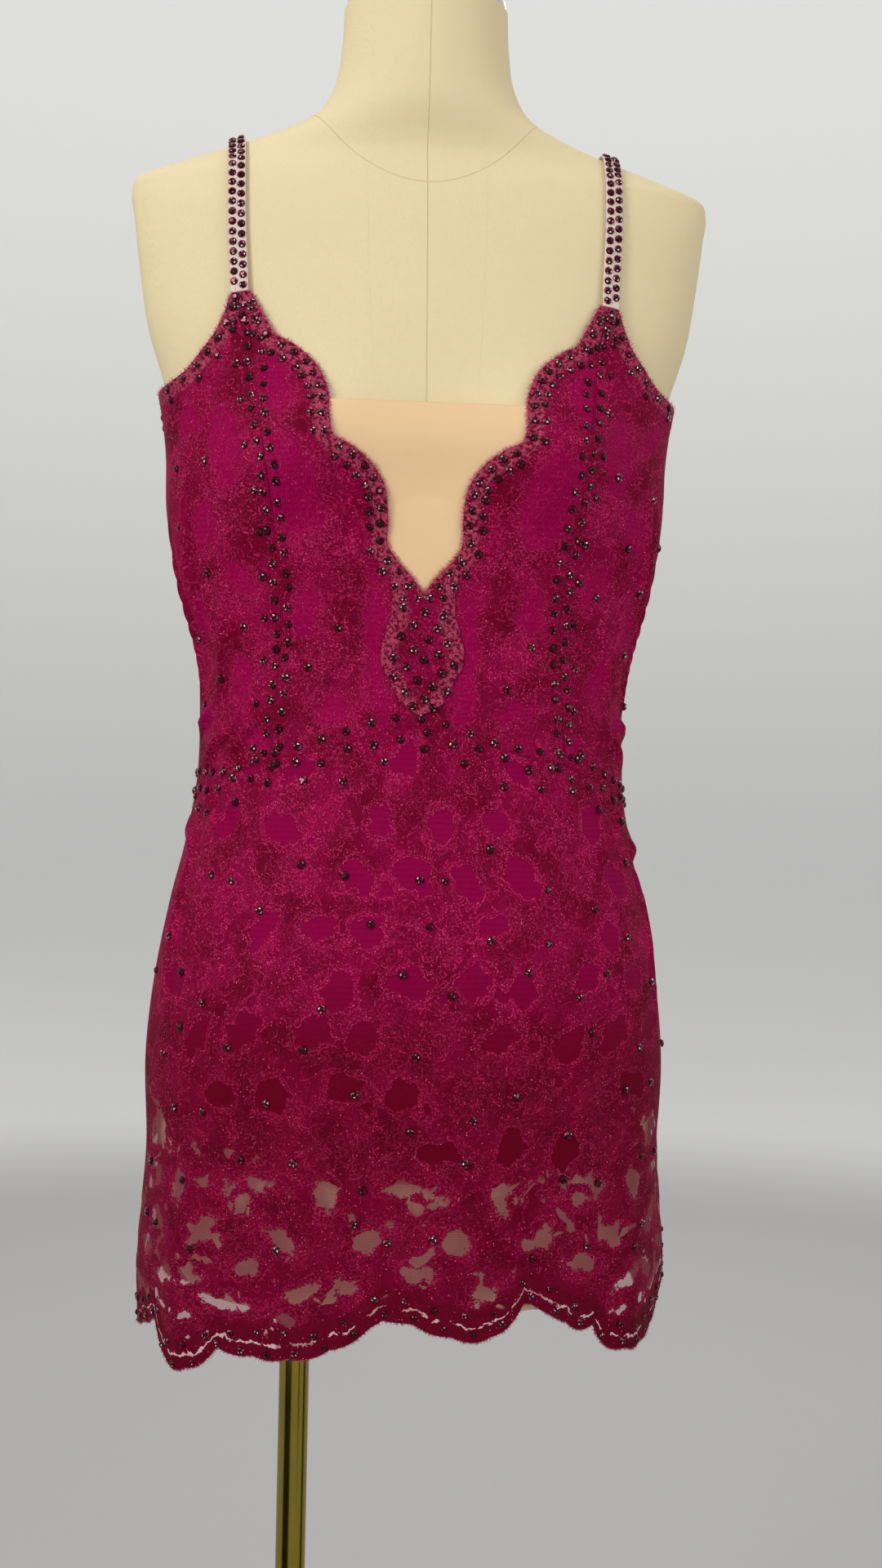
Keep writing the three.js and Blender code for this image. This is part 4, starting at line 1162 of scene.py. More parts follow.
def node_sizes(node):
    """A node's lowest and highest heights, its half width and its reach, in millimetres"""
    low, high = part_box(node)
    return low[2] / MM, high[2] / MM, (high[0] - low[0]) / 2 / MM, (high[0] + low[0]) / 2 / MM


def rounded(low, high, radius, bevel):
    """The profile of a disc or rod with rounded edges"""
    turns = np.linspace(0, np.pi / 2, 5)
    foot = [(radius - bevel + bevel * np.sin(t), low + bevel - bevel * np.cos(t)) for t in turns]
    head = [(radius - bevel + bevel * np.cos(t), high - bevel + bevel * np.sin(t)) for t in turns]
    return [(0, low), *foot, *head, (0, high)]


def domed(low, high, radius):
    """The profile of the neck cap: a short rim and a shallow dome"""
    dome = [(radius * math.cos(t), low + 5 + (high - low - 5) * math.sin(t))
            for t in np.linspace(0.05, math.pi / 2, 12)[:-1]]
    return [(0, low), (radius - 1, low), (radius, low + 1.2), *dome, (0, high)]


def coned(low, high, radius):
    """The profile of the pole's foot: a short cone with eased edges"""
    return [(0, low), (radius - 0.6, low), (radius, low + 0.8), (radius, low + 2), (radius - 7, high - 1),
            (radius - 8.5, high), (0, high)]


class DRESS_OT_stand(bpy.types.Operator):
    """Make the neck cap, the socket, the brass pole, its foot and the round base"""
    bl_idname = "dress.stand"
    bl_label = "Cap and stand"

    def execute(self, context):
        brass = metal_material("brass", context.scene.dance_stage.brass_color, 0.16, 0.10)
        chrome = metal_material("chrome", (0.80, 0.81, 0.83), 0.10, 0.05)
        black = metal_material("black_metal", (0.02, 0.02, 0.022), 0.42, 0.1)
        for node, name, made, slot, profile, bevel in (
                ("neck_cap", "cap_dome", chrome, "chrome", domed, ()),
                ("stand_socket", "socket_collar", black, "black_metal", rounded, (2.0,)),
                ("stand_pole", "brass_pole", brass, "brass", rounded, (0.4,)),
                ("stand_base", "round_base", brass, "brass", rounded, (4.5,)),
                ("stand_foot", "pole_foot", brass, "brass", coned, ())):
            low, high, radius, reach = node_sizes(node)
            mesh = turned_mesh(name, profile(low, high, radius, *bevel), reach)
            plain_object(name, mesh, made, slot, node)
        return {"FINISHED"}


class DRESS_OT_bodice(bpy.types.Operator):
    """Make the lace panels of the bodice, front and back"""
    bl_idname = "dress.bodice"
    bl_label = "Bodice"

    def execute(self, context):
        step = context.scene.dance_dress.grid_step / MM
        made = lace_material("lace_lined", sheer=False)
        layout = bodice_lace()
        centre = centre_patch(*grid(112 / step, 335 / step))
        side = side_patch(*grid(118 / step, 310 / step))
        for sign, word in ((1, "right"), (-1, "left")):
            for places, name, curve in ((centre, "centre", neck_curve), (side, "side", armhole_curve)):
                turned = places if sign > 0 else places[:, ::-1] * np.array([-1, 1])
                lace_panel(f"lace_{name}_{word}", turned, layout, edge_points(curve, sign), made,
                           f"bodice_front_{name}_{word}")
        across, up = grid(390 / step / 1.2, 270 / step / 1.2)
        angle = np.pi / 2 + np.pi * across
        turn = from_front(np.degrees(angle))
        low, high = waist_height(turn), back_height(turn)
        back = np.stack([angle, low + (high - low) * up], -1)
        top = on_dress(angle[0], high[0])[0]
        lace_panel("lace_back", back, layout, top, made, "bodice_back")
        return {"FINISHED"}


class DRESS_OT_skirt(bpy.types.Operator):
    """Make the sheer lace skirt and the smooth lining inside it"""
    bl_idname = "dress.skirt"
    bl_label = "Skirt and lining"

    def execute(self, context):
        step = context.scene.dance_dress.grid_step / MM
        made = lace_material("lace_sheer", sheer=True)
        windows, rings, flowers = skirt_lace()
        knit = lining_material()
        for word, first, last, tall in (("front", -90, 90, 440), ("back", 90, 270, 400)):
            across, up = grid(525 / step, tall / step)
            turn = first + (last - first) * across
            low, high = hem_height(turn), waist_height(from_front(turn))
            height = low + (high - low) * up ** 1.04
            angle = np.radians(turn)
            points, normal = on_dress(angle, height)
            along = skirt_girth(angle)
            window = window_depth(along, height, windows, rings)
            edge = (height - low) * 0.95
            layers = {"window": window, "edge": edge, "lined": height - lining_height(from_front(turn)),
                      "bloom": nearest_flower(*warped(along, height), flowers)}
            mesh = sheet_mesh(f"lace_skirt_{word}", points + normal * relief(window, edge)[..., None],
                              np.stack([along, height], -1), layers)
            piece = plain_object(f"lace_skirt_{word}", mesh, made, "lace", f"skirt_{word}")
            across, up = grid(110, 60)
            turn = first + (last - first) * across
            low, high = lining_height(from_front(turn)), waist_height(from_front(turn))
            height = low + (high - low) * up
            angle = np.radians(turn)
            outer, inner = [on_dress(angle, height, lift)[0] for lift in (LINING_FACE, LINING_INSIDE)]
            mesh = wall_mesh(f"lining_{word}", outer, inner, np.stack([skirt_girth(angle), height], -1),
                             {"edge": height - low})
            piece = plain_object(f"lining_{word}", mesh, knit, "lining", f"skirt_lining_{word}")
        return {"FINISHED"}


def modesty_points(across, height):
    """Points of the mesh behind the V: it is drawn tight between the edges that it is sewn to"""
    edge_rows = [Slice(level, reach) for reach, level in NECK_EDGE]
    reach = np.maximum(smooth(edge_rows, "height", "half")(height), 3)
    tucked = on_dress(angle_at(reach + 6, height), height, LINING_FACE)[0]
    beside = on_dress(angle_at(reach, height), height, LINING_FACE)[0]
    middle = on_dress(np.zeros(height.shape), height, LINING_FACE)[0][..., 1]
    sideways = 2 * across - 1
    drawn = np.maximum(tucked[..., 1], beside[..., 1])
    row = np.arange(len(drawn))
    weights = np.exp(-((row[:, None] - row[None, :]) / 9) ** 2)
    evened = (weights / weights.sum(axis=1, keepdims=True)) @ drawn
    drawn = evened + (drawn - evened) * np.abs(sideways) ** 5 + 3 * (1 - sideways ** 2)
    return np.stack([sideways * tucked[..., 0], np.minimum(drawn, middle), height], -1)


class DRESS_OT_neckline(bpy.types.Operator):
    """Make the nude mesh behind the V and the scalloped applique below it"""
    bl_idname = "dress.neckline"
    bl_label = "Modesty mesh and applique"

    def execute(self, context):
        across, up = grid(80, 70)
        low = V_POINT - 6
        height = low + (MODESTY_TOP - low) * up
        points = modesty_points(across, height)
        mesh = wall_mesh("modesty_mesh", points, points + np.array([0, 0.7, 0]), points[..., [0, 2]],
                         {"edge": MODESTY_TOP - height})
        piece = plain_object("modesty_mesh", mesh, nude_material(), "nude_mesh", "modesty_panel")

        across, up = grid(40, 60)
        level = APPLIQUE[0].height + (APPLIQUE[-1].height - APPLIQUE[0].height) * up
        half = applique_half(level) + 0.9 * np.abs(np.sin(level / 3.4))
        reach = (2 * across - 1) * half
        height = level + up ** 2 * APPLIQUE_RISE * np.abs(reach)
        angle = np.sign(reach) * angle_at(np.abs(reach), height)
        outer, inner = [on_dress(angle, height, lift)[0] for lift in (APPLIQUE_LIFT, RELIEF)]
        layers = {"window": np.full(reach.shape, -FAR), "edge": half - np.abs(reach),
                  "bloom": np.full((*reach.shape, 3), FAR)}
        mesh = wall_mesh("scalloped_applique", outer, inner, np.stack([reach, height], -1), layers)
        piece = plain_object("scalloped_applique", mesh, bpy.data.materials["lace_lined"], "lace",
                             "v_applique")
        return {"FINISHED"}


def form_test(points):
    """Below 0 inside the form, above 0 outside"""
    half, front, back, square = form_section(points[..., 2])
    depth = np.where(points[..., 1] < 0, front + bust_depth(points[..., 0], points[..., 2]), back)
    sideways = (np.abs(points[..., 0]) / half) ** square
    return sideways + (np.abs(points[..., 1]) / depth) ** square - 1


def strap_places(aside, turn, lift):
    """Points and normals of a strap: aside from its middle, at turns over the shoulder"""
    turn, aside = np.broadcast_arrays(np.asarray(turn, float), np.asarray(aside, float))
    aim = np.stack([np.zeros(turn.shape), -np.cos(np.radians(turn)), np.sin(np.radians(turn))], -1)
    start = np.stack([strap_reach(turn) + aside, np.zeros(turn.shape),
                      np.full(turn.shape, float(STRAP_CENTRE))], -1)
    near, far = np.zeros(turn.shape), np.full(turn.shape, 200.0)
    for _ in range(40):
        middle = (near + far) / 2
        inside = form_test(start + aim * middle[..., None]) < 0
        near, far = np.where(inside, middle, near), np.where(inside, far, middle)
    skin = start + aim * near[..., None]
    slope = np.stack([form_test(skin + step) - form_test(skin - step)
                      for step in np.eye(3) * 0.5], -1)
    normal = slope / np.linalg.norm(slope, axis=-1, keepdims=True)
    return skin + normal * (strap_clear(turn) + lift)[..., None], normal


class DRESS_OT_straps(bpy.types.Operator):
    """Make the two elastic straps over the shoulders"""
    bl_idname = "dress.straps"
    bl_label = "Straps"

    def execute(self, context):
        made = elastic_material()
        across, up = grid(9, 180)
        turn = STRAP_COURSE[0].turn + (STRAP_COURSE[-1].turn - STRAP_COURSE[0].turn) * up
        aside = (across - 0.5) * STRAP_WIDTH
        crown = STRAP_WALL * (1 - 0.25 * np.abs(2 * across - 1) ** 4)
        outer, inner = [strap_places(aside, turn, lift)[0] for lift in (crown, 0)]
        length = run_length(outer[:, across.shape[1] // 2])
        cloth = np.stack([aside, np.broadcast_to(length[:, None], aside.shape)], -1)
        for sign, word in ((1, "right"), (-1, "left")):
            flip = np.array([sign, 1, 1])
            order = slice(None, None, sign)
            mesh = wall_mesh(f"elastic_{word}", (outer * flip)[:, order], (inner * flip)[:, order],
                             cloth[:, order], {"edge": across})
            piece = plain_object(f"elastic_{word}", mesh, made, "elastic", f"strap_{word}")
        return {"FINISHED"}


# How light each facet is painted, standing for its reflections and glints: five round each side, then the
# table and the back
FACET_PAINTED_LIGHT = [
    0.02, 0.10, 0.05, 0.34, 0.02, 0.02, 0.03, 0.52, 0.08, 0.30, 0.02, 0.45, 0.02, 0.05,
    0.12, 0.02, 0.06, 0.04, 1.0, 0.03, 0.02, 0.30, 0.10, 0.03, 0.46, 0.02, 0.02, 0.42,
    0.08, 0.02, 0.02, 0.08, 0.03, 0.25, 0.74, 0.02, 0.52, 0.02, 0.05, 0.10, 0.13, 0.0,
]
STONE_SIDES = 8
# Rings of the stone from its flat back up: radius, height and twist in sides
STONE_RINGS = [(0.5, 0.0, 0.0), (0.5, 0.07, 0.0), (0.38, 0.24, 0.5), (0.21, 0.34, 0.0)]


def stone_shape():
    """A flat-backed round stone one unit across: a flat table, a crown of facets and a girdle"""
    mesh = bpy.data.meshes.new("stone_shape")
    tool = bmesh.new()
    rings = []
    for radius, height, twist in STONE_RINGS:
        turns = [(side + twist) / STONE_SIDES * 2 * math.pi for side in range(STONE_SIDES)]
        rings.append([tool.verts.new((radius * math.cos(t), radius * math.sin(t), height)) for t in turns])
    back, girdle, crown, table = rings
    for side in range(STONE_SIDES):
        after = (side + 1) % STONE_SIDES
        for corners in ((back[side], back[after], girdle[after], girdle[side]),
                        (girdle[side], girdle[after], crown[side]),
                        (girdle[after], crown[after], crown[side]),
                        (crown[side], crown[after], table[after]),
                        (crown[side], table[after], table[side])):
            tool.faces.new(corners)
    tool.faces.new(table)
    tool.faces.new(back[::-1])
    bmesh.ops.recalc_face_normals(tool, faces=tool.faces)
    tool.to_mesh(mesh)
    tool.free()
    mesh.attributes.new("facet", "FLOAT", "FACE").data.foreach_set("value", np.array(FACET_PAINTED_LIGHT, np.float32))
    return mesh


def scatter_tree(name, sizes, shape_nodes):
    """A Geometry Nodes tree that sets a shape on each point, faced along the point's own direction.
    sizes are its inputs with defaults; shape_nodes adds the shape and gives it, its scale and wobble."""
    tree = bpy.data.node_groups.new(name, "GeometryNodeTree")
    for label, kind, default in (
            ("Geometry", "Geometry", None), *((label, "Float", size) for label, size in sizes.items()),
            ("Seed", "Int", 3), ("Shape", "Object", None), ("Material", "Material", None)):
        socket = tree.interface.new_socket(label, in_out="INPUT", socket_type=f"NodeSocket{kind}")
        if default is not None:
            socket.default_value = default
    tree.interface.new_socket("Geometry", in_out="OUTPUT", socket_type="NodeSocketGeometry")
    graph = Graph(tree)
    given = graph.node("NodeGroupInput").outputs

    def add(kind, settings, **inputs):
        node = graph.node(kind, **settings)
        for key, value in inputs.items():
            graph.feed(node.inputs[key.replace("_", " ")], value)
        return node.outputs

    facing = add("GeometryNodeInputNamedAttribute", {"data_type": "FLOAT_VECTOR"}, Name="facing")
    aim = add("FunctionNodeAlignRotationToVector", {"axis": "Z"}, Vector=facing["Attribute"])
    instance, scale, wobble = shape_nodes(graph, given)
    turn = add("FunctionNodeRandomValue", {"data_type": "FLOAT_VECTOR"}, Min=(-wobble, -wobble, -math.pi),
               Max=(wobble, wobble, math.pi), Seed=given["Seed"])
    euler = add("FunctionNodeEulerToRotation", {}, Euler=turn[0])
    spin = add("FunctionNodeRotateRotation", {"rotation_space": "LOCAL"}, Rotation=aim[0], Rotate_By=euler[0])
    put = add("GeometryNodeInstanceOnPoints", {}, Points=given["Geometry"], Instance=instance,
              Rotation=spin[0], Scale=scale)
    # A random value for each shape, kept as glint; the stones' material scales their painted glints by it
    glint = add("FunctionNodeRandomValue", {"data_type": "FLOAT"}, Seed=given["Seed"])
    keep = add("GeometryNodeStoreNamedAttribute", {"data_type": "FLOAT", "domain": "INSTANCE"}, Name="glint",
               Geometry=put[0], Value=glint[1])
    real = add("GeometryNodeRealizeInstances", {}, Geometry=keep[0])
    add("NodeGroupOutput", {}, Geometry=add("GeometryNodeSetMaterial", {}, Geometry=real[0],
                                            Material=given["Material"])["Geometry"])
    return tree


def stone_nodes(graph, given):
    shape = graph.node("GeometryNodeObjectInfo")
    graph.feed(shape.inputs["Object"], given["Shape"])
    size = graph.node("GeometryNodeInputNamedAttribute", data_type="FLOAT")
    size.inputs["Name"].default_value = "size"
    across = graph.math("MULTIPLY", size.outputs["Attribute"], given["Diameter"])
    return shape.outputs["Geometry"], across, 0.13


def lash_nodes(graph, given):
    cone = graph.node("GeometryNodeMeshCone", fill_type="TRIANGLE_FAN")
    for key, value in (("Vertices", 3), ("Radius Top", 0.0), ("Depth", 1.0), ("Radius Bottom", 1.0)):
        cone.inputs[key].default_value = value
    length = graph.node("FunctionNodeRandomValue", data_type="FLOAT")
    length.inputs[2].default_value = 0.35
    length.inputs[3].default_value = 1.25
    tall = graph.math("MULTIPLY", length.outputs[1], given["Length"])
    scale = graph.wire(graph.node("ShaderNodeCombineXYZ"), given["Thickness"], given["Thickness"], tall)
    return cone.outputs["Mesh"], scale, 0.75


def scatter(name, tree, points, facing, size, settings, made, slot):
    """Set a tree's shapes on points and keep the result as a plain mesh"""
    size = np.broadcast_to(np.asarray(size, float), len(points))
    mesh = build_mesh(f"{name}_points", points, [], None, {"facing": facing, "size": size})
    holder = plain_object(f"{name}_points", mesh, None)
    modifier = holder.modifiers.new("Set", "NODES")
    modifier.node_group = tree
    sockets = {item.name: item.identifier for item in tree.interface.items_tree
               if item.item_type == "SOCKET" and item.in_out == "INPUT"}
    for key, value in {**settings, "Material": made}.items():
        modifier[sockets[key]] = value
    bpy.context.view_layer.update()
    result = bpy.data.meshes.new_from_object(holder.evaluated_get(bpy.context.evaluated_depsgraph_get()))
    result.name = name
    bpy.data.objects.remove(holder)
    if not result.polygons:
        raise RuntimeError(f"{name} came out empty")
    plain_object(name, result, made, slot)


# Rows of stones beside the front's edges and seams: distance in from the curve, spacing, place of the
# first one as a share of the spacing, and how far each is shaken from its place
StoneRow = namedtuple("StoneRow", "curve inset spacing start shake")
FRONT_ROWS = [
    StoneRow(neck_curve, 4.8, 11.0, 0.0, 0.5), StoneRow(neck_curve, 12.6, 11.4, 0.5, 0.7),
    StoneRow(princess_curve, -5.0, 11.6, 0.0, 1.4), StoneRow(princess_curve, 3.8, 11.8, 0.5, 1.4),
    StoneRow(princess_curve, 11.0, 29.0, 0.3, 2.0), StoneRow(armhole_curve, 4.2, 10.4, 0.3, 0.5),
    StoneRow(armhole_curve, 11.4, 17.0, 0.6, 1.0),
]


def offset_places(row):
    """Places along a front curve, moved sideways to its inner side"""
    count = int(row.curve.length / row.spacing)
    share = np.clip((np.arange(count) + row.start) / count, 0, 1)
    ahead = row.curve(np.clip(share + 0.004, 0, 1)) - row.curve(np.clip(share - 0.004, 0, 1))
    ahead /= np.linalg.norm(ahead, axis=1, keepdims=True)
    return row.curve(share) + np.stack([ahead[:, 1], -ahead[:, 0]], -1) * row.inset


def front_stones():
    """Angles and heights of the stones along the front's seams and edges, both sides"""
    places = []
    rng = np.random.default_rng(21)
    for row in FRONT_ROWS:
        spots = offset_places(row)
        spots = spots[spots[:, 0] > 2.4]
        for sign in (1, -1):
            shaken = as_places(spots + rng.uniform(-row.shake, row.shake, spots.shape))
            places.append(shaken * (sign, 1))
    return np.concatenate(places)


def round_row(first, last, spacing, level, girth):
    """Angles and heights of a row of stones round the body, at the heights that level gives"""
    count = int((girth(math.radians(last)) - girth(math.radians(first))) / spacing)
    turn = np.linspace(first, last, count, endpoint=False)
    return np.stack([np.radians(turn), level(turn)], -1)


def scattered(rng, first, last, low, high, pitch, girth):
    """Loose stones over an area, one in each cell of a staggered grid"""
    places = []
    start, end = float(girth(math.radians(first))), float(girth(math.radians(last)))
    turns = np.radians(np.linspace(first, last, 400))
    for row in range(int((high - low) / pitch)):
        for column in range(int((end - start) / pitch)):
            if rng.random() < 0.18:
                continue
            along = start + (column + 0.5 * (row % 2) + rng.uniform(0.1, 0.9)) * pitch
            height = low + (row + rng.uniform(0.15, 0.85)) * pitch
            if along < end - 4:
                places.append((float(np.interp(along, girth(turns), turns)), height))
    return np.array(places)


def waist(turn):
    return waist_height(from_front(turn))


def back_top(turn):
    return back_height(from_front(turn))


def stone_areas(rng):
    """Rows and loose stones of the front, the hem and the back, as angles and heights"""
    front = [
        front_stones(),
        round_row(-88, 88, 15, lambda t: waist(t) + 6.0 + 3 * np.sin(t * 0.9), bodice_girth),
        round_row(-85, 88, 16, lambda t: waist(t) - 6.0 + 3 * np.sin(t * 1.3), bodice_girth),
        round_row(-70, 72, 25, lambda t: waist(t) - 20 + 5 * np.sin(t * 1.7), bodice_girth),
        scattered(rng, -86, 86, 700, 1010, 42, skirt_girth),
        scattered(rng, 12, 34, 1085, 1180, 34, bodice_girth),
        scattered(rng, -34, -12, 1085, 1180, 34, bodice_girth),
        scattered(rng, 42, 86, 1070, 1290, 40, bodice_girth),
        scattered(rng, -86, -42, 1070, 1290, 40, bodice_girth),
    ]
    hem = [
        round_row(-179, 180, 17, lambda t: hem_height(t) + 4.5 + np.sin(t * 1.1), skirt_girth),
        round_row(-177, 180, 17, lambda t: hem_height(t) + 16 + 1.5 * np.sin(t * 0.7), skirt_girth),
    ]
    back = [
        round_row(92, 268, 11.4, lambda t: back_top(t) - 4.6, bodice_girth),
        round_row(93, 268, 11.4, lambda t: back_top(t) - 12, bodice_girth),
        round_row(92, 268, 19, lambda t: waist(t) + 6.0, bodice_girth),
        round_row(95, 268, 19, lambda t: waist(t) - 6.0, bodice_girth),
        scattered(rng, 94, 266, 700, 1010, 46, skirt_girth),
        scattered(rng, 94, 266, 1050, 1215, 44, bodice_girth),
    ]
    return {name: np.concatenate([row for row in rows if len(row)])
            for name, rows in (("stones_front", front), ("stones_hem", hem), ("stones_back", back))}


def strap_stones():
    """Points and normals of the right strap's stones: two rows, one half a step behind the other"""
    turns = np.linspace(STRAP_COURSE[0].turn, STRAP_COURSE[-1].turn, 2000)
    length = run_length(strap_places(0, turns, 0)[0])
    spots = []
    for aside, start in ((-STRAP_STONE_ASIDE, 0.0), (STRAP_STONE_ASIDE, 0.5)):
        places = (np.arange(int(length[-1] / STRAP_STONE_PITCH)) + 0.6 + start) * STRAP_STONE_PITCH
        turn = np.interp(places[places < length[-1] - 3], length, turns)
        spots.append(strap_places(aside, turn, STRAP_WALL + 0.05))
    return [np.concatenate(parts) for parts in zip(*spots)]


class DRESS_OT_stones(bpy.types.Operator):
    """Set the faceted stones along the seams, edges and straps, and loose over the lace"""
    bl_idname = "dress.stones"
    bl_label = "Stones"

    def execute(self, context):
        rng = np.random.default_rng(5)
        shape = bpy.data.objects.new("stone_shape", stone_shape())
        made = stone_material()
        tree = scatter_tree("stone_setting", {"Diameter": 0.0048}, stone_nodes)
        settings = {"Diameter": context.scene.dance_dress.stone_size, "Seed": 3, "Shape": shape}
        for name, places in stone_areas(rng).items():
            points, normal = on_dress(places[:, 0], places[:, 1], STONE_LIFT)
            size = rng.uniform(*STONE_SIZES, len(points)) * (HEM_STONE_SIZE if name == "stones_hem" else 1)
            scatter(name, tree, points, normal, size, settings, made, "stones")
        spots = np.array(APPLIQUE_STONES, float)
        angle = np.sign(spots[:, 0]) * angle_at(np.abs(spots[:, 0]), spots[:, 1])
        points, normal = on_dress(angle, spots[:, 1], APPLIQUE_LIFT + 0.1)
        scatter("stones_applique", tree, points, normal, 1.0, settings, made, "stones")
        points, normal = strap_stones()
        for sign, word in ((1, "right"), (-1, "left")):
            flip = np.array([sign, 1, 1])
            scatter(f"stones_strap_{word}", tree, points * flip, normal * flip, STRAP_STONE_SIZE, settings,
                    made, "stones")
        bpy.data.objects.remove(shape)
        return {"FINISHED"}


def edge_lashes(angle, height, rng, dense):
    """Points along an edge given as angles and heights, and directions sideways from it in the cloth"""
    points, normal = on_dress(angle, height, -0.3)
    side = np.cross(normal, np.gradient(points, axis=0))
    side /= np.linalg.norm(side, axis=1, keepdims=True)
    points = np.repeat(points, dense, axis=0) + rng.normal(0, 0.25, (len(points) * dense, 3))
    return points, np.repeat(side, dense, axis=0) + rng.normal(0, 0.45, points.shape)


class DRESS_OT_lashes(bpy.types.Operator):
    """Set the fine frayed threads along the lace's edges"""
    bl_idname = "dress.lashes"
    bl_label = "Edge threads"

    def execute(self, context):
        length = context.scene.dance_dress.lash_length
        rng = np.random.default_rng(9)
        tree = scatter_tree("edge_threads", {"Length": 0.0030, "Thickness": 0.0002}, lash_nodes)
        pale = lash_material("pale_edge_thread", (0.50, 0.075, 0.140))
        deep = lash_material("deep_edge_thread", (0.26, 0.010, 0.045))
        front = []
        for curve in (neck_curve, armhole_curve):
            angle, height = as_places(curve(np.linspace(0, 1, int(curve.length / 0.9)))).T
            for sign in (1, -1):
                points, side = edge_lashes(sign * angle, height, rng, 3)
                front.append((points, side * sign))
        front = [np.concatenate(parts) for parts in zip(*front)]
        turn = np.linspace(-180, 180, 1150)
        points, side = edge_lashes(np.radians(turn), hem_height(turn) + 0.3, rng, 5)
        hem = (points, -side)
        turn = np.linspace(90, 270, 450)
        back = edge_lashes(np.radians(turn), back_top(turn) - 0.3, rng, 2)
        for name, (points, side), share, made in (
                ("lashes_front", front, 1, pale), ("lashes_hem", hem, 0.75, deep),
                ("lashes_back", back, 1, deep)):
            settings = {"Length": length * share, "Thickness": 0.00028, "Seed": 4}
            scatter(name, tree, points, side, 1.0, settings, made, "lace")
        return {"FINISHED"}


class DRESS_OT_seams(bpy.types.Operator):
    """Make the raised welts of the princess, waist and side seams"""
    bl_idname = "dress.seams"
    bl_label = "Seam welts"

    def execute(self, context):
        made = seam_material()
        angle, height = as_places(princess_curve(np.linspace(0, 1, 260))).T
        turn = np.linspace(-180, 180, 900)
        quarter = np.full(300, math.pi / 2)
        turns = np.linspace(0, 2 * math.pi, WELT_SIDES, endpoint=False)
        for name, angle, height in (
                ("princess_right", angle, height), ("princess_left", -angle, height),
                ("waist", np.radians(turn), waist(turn)),
                ("side_right", quarter, np.linspace(1300, 668, 300)),
                ("side_left", -quarter, np.linspace(1300, 652, 300))):
            points, normal = on_dress(angle, height)
            ahead = np.gradient(points, axis=0)
            ahead /= np.linalg.norm(ahead, axis=1, keepdims=True)
            aside = np.cross(normal, ahead)
            tube = np.stack([points + aside * (WELT_HALF * math.cos(t)) + normal * (WELT_RISE * math.sin(t))
                             for t in turns], 1)
            index = ring_index(len(points), WELT_SIDES)
            faces = grid_faces(index)[:, ::-1].tolist() + [list(index[0, :-1]), list(index[-1, -2::-1])]
            cloth = np.stack([bodice_girth(angle), height], -1)
            mesh = build_mesh(f"welt_{name}", tube, faces, np.repeat(cloth, WELT_SIDES, axis=0))
            plain_object(f"welt_{name}", mesh, made, "lace")
        return {"FINISHED"}


# The studio in millimetres: the flat floor's reach, the bend into the wall, the wall's reach and top
STUDIO_FLOOR = 3000
STUDIO_BEND = 1400
STUDIO_WALL = 4400
STUDIO_TOP = 4200
STUDIO_LEVEL = -0.6
STUDIO_SIDES = 96

# Soft lights: place, height aimed at, size, power and colour; the small ones make glints on the stones
Lamp = namedtuple("Lamp", "name place aim size power color")
WHITE = (1.0, 1.0, 1.0)
LAMPS = [
    Lamp("key_light", (-2.0, -1.9, 2.5), 1.2, 0.9, 40, (1.0, 0.99, 0.97)),
    Lamp("fill_light", (2.2, -2.0, 1.9), 1.1, 1.4, 14.5, (0.97, 0.98, 1.0)),
    Lamp("top_light", (0, 0.4, 3.6), 1.0, 2.0, 12, WHITE),
    Lamp("back_light", (0.6, 2.8, 2.4), 1.1, 1.6, 22, WHITE),
    Lamp("glint_light_0", (0.30, -2.0, 1.85), 1.1, 0.08, 1.6, WHITE),
    Lamp("glint_light_1", (-0.75, -1.9, 1.5), 1.1, 0.08, 1.6, WHITE),
    Lamp("glint_light_2", (0.9, -1.9, 0.9), 1.1, 0.08, 1.6, WHITE),
]
AIR_COLOR = (0.86, 0.88, 0.92, 1)
AIR_STRENGTH = 0.56

# Dark cards that show only in reflections: place, half width and height, in metres
Card = namedtuple("Card", "word x y half tall")
CARDS = [Card("left", -1.9, -1.2, 0.22, 2.4), Card("right", 1.5, -1.9, 0.22, 2.4),
         Card("middle", -0.50, -0.48, 0.30, 0.56), Card("low", 0.52, -0.05, 0.10, 0.56)]

# The camera: place to the side in metres, lens and sensor in millimetres, turn and roll in degrees
CAMERA_ASIDE = -0.088
CAMERA_LENS = 40.9
CAMERA_SENSOR = 36
CAMERA_TURN = -4.80
CAMERA_ROLL = 1.2


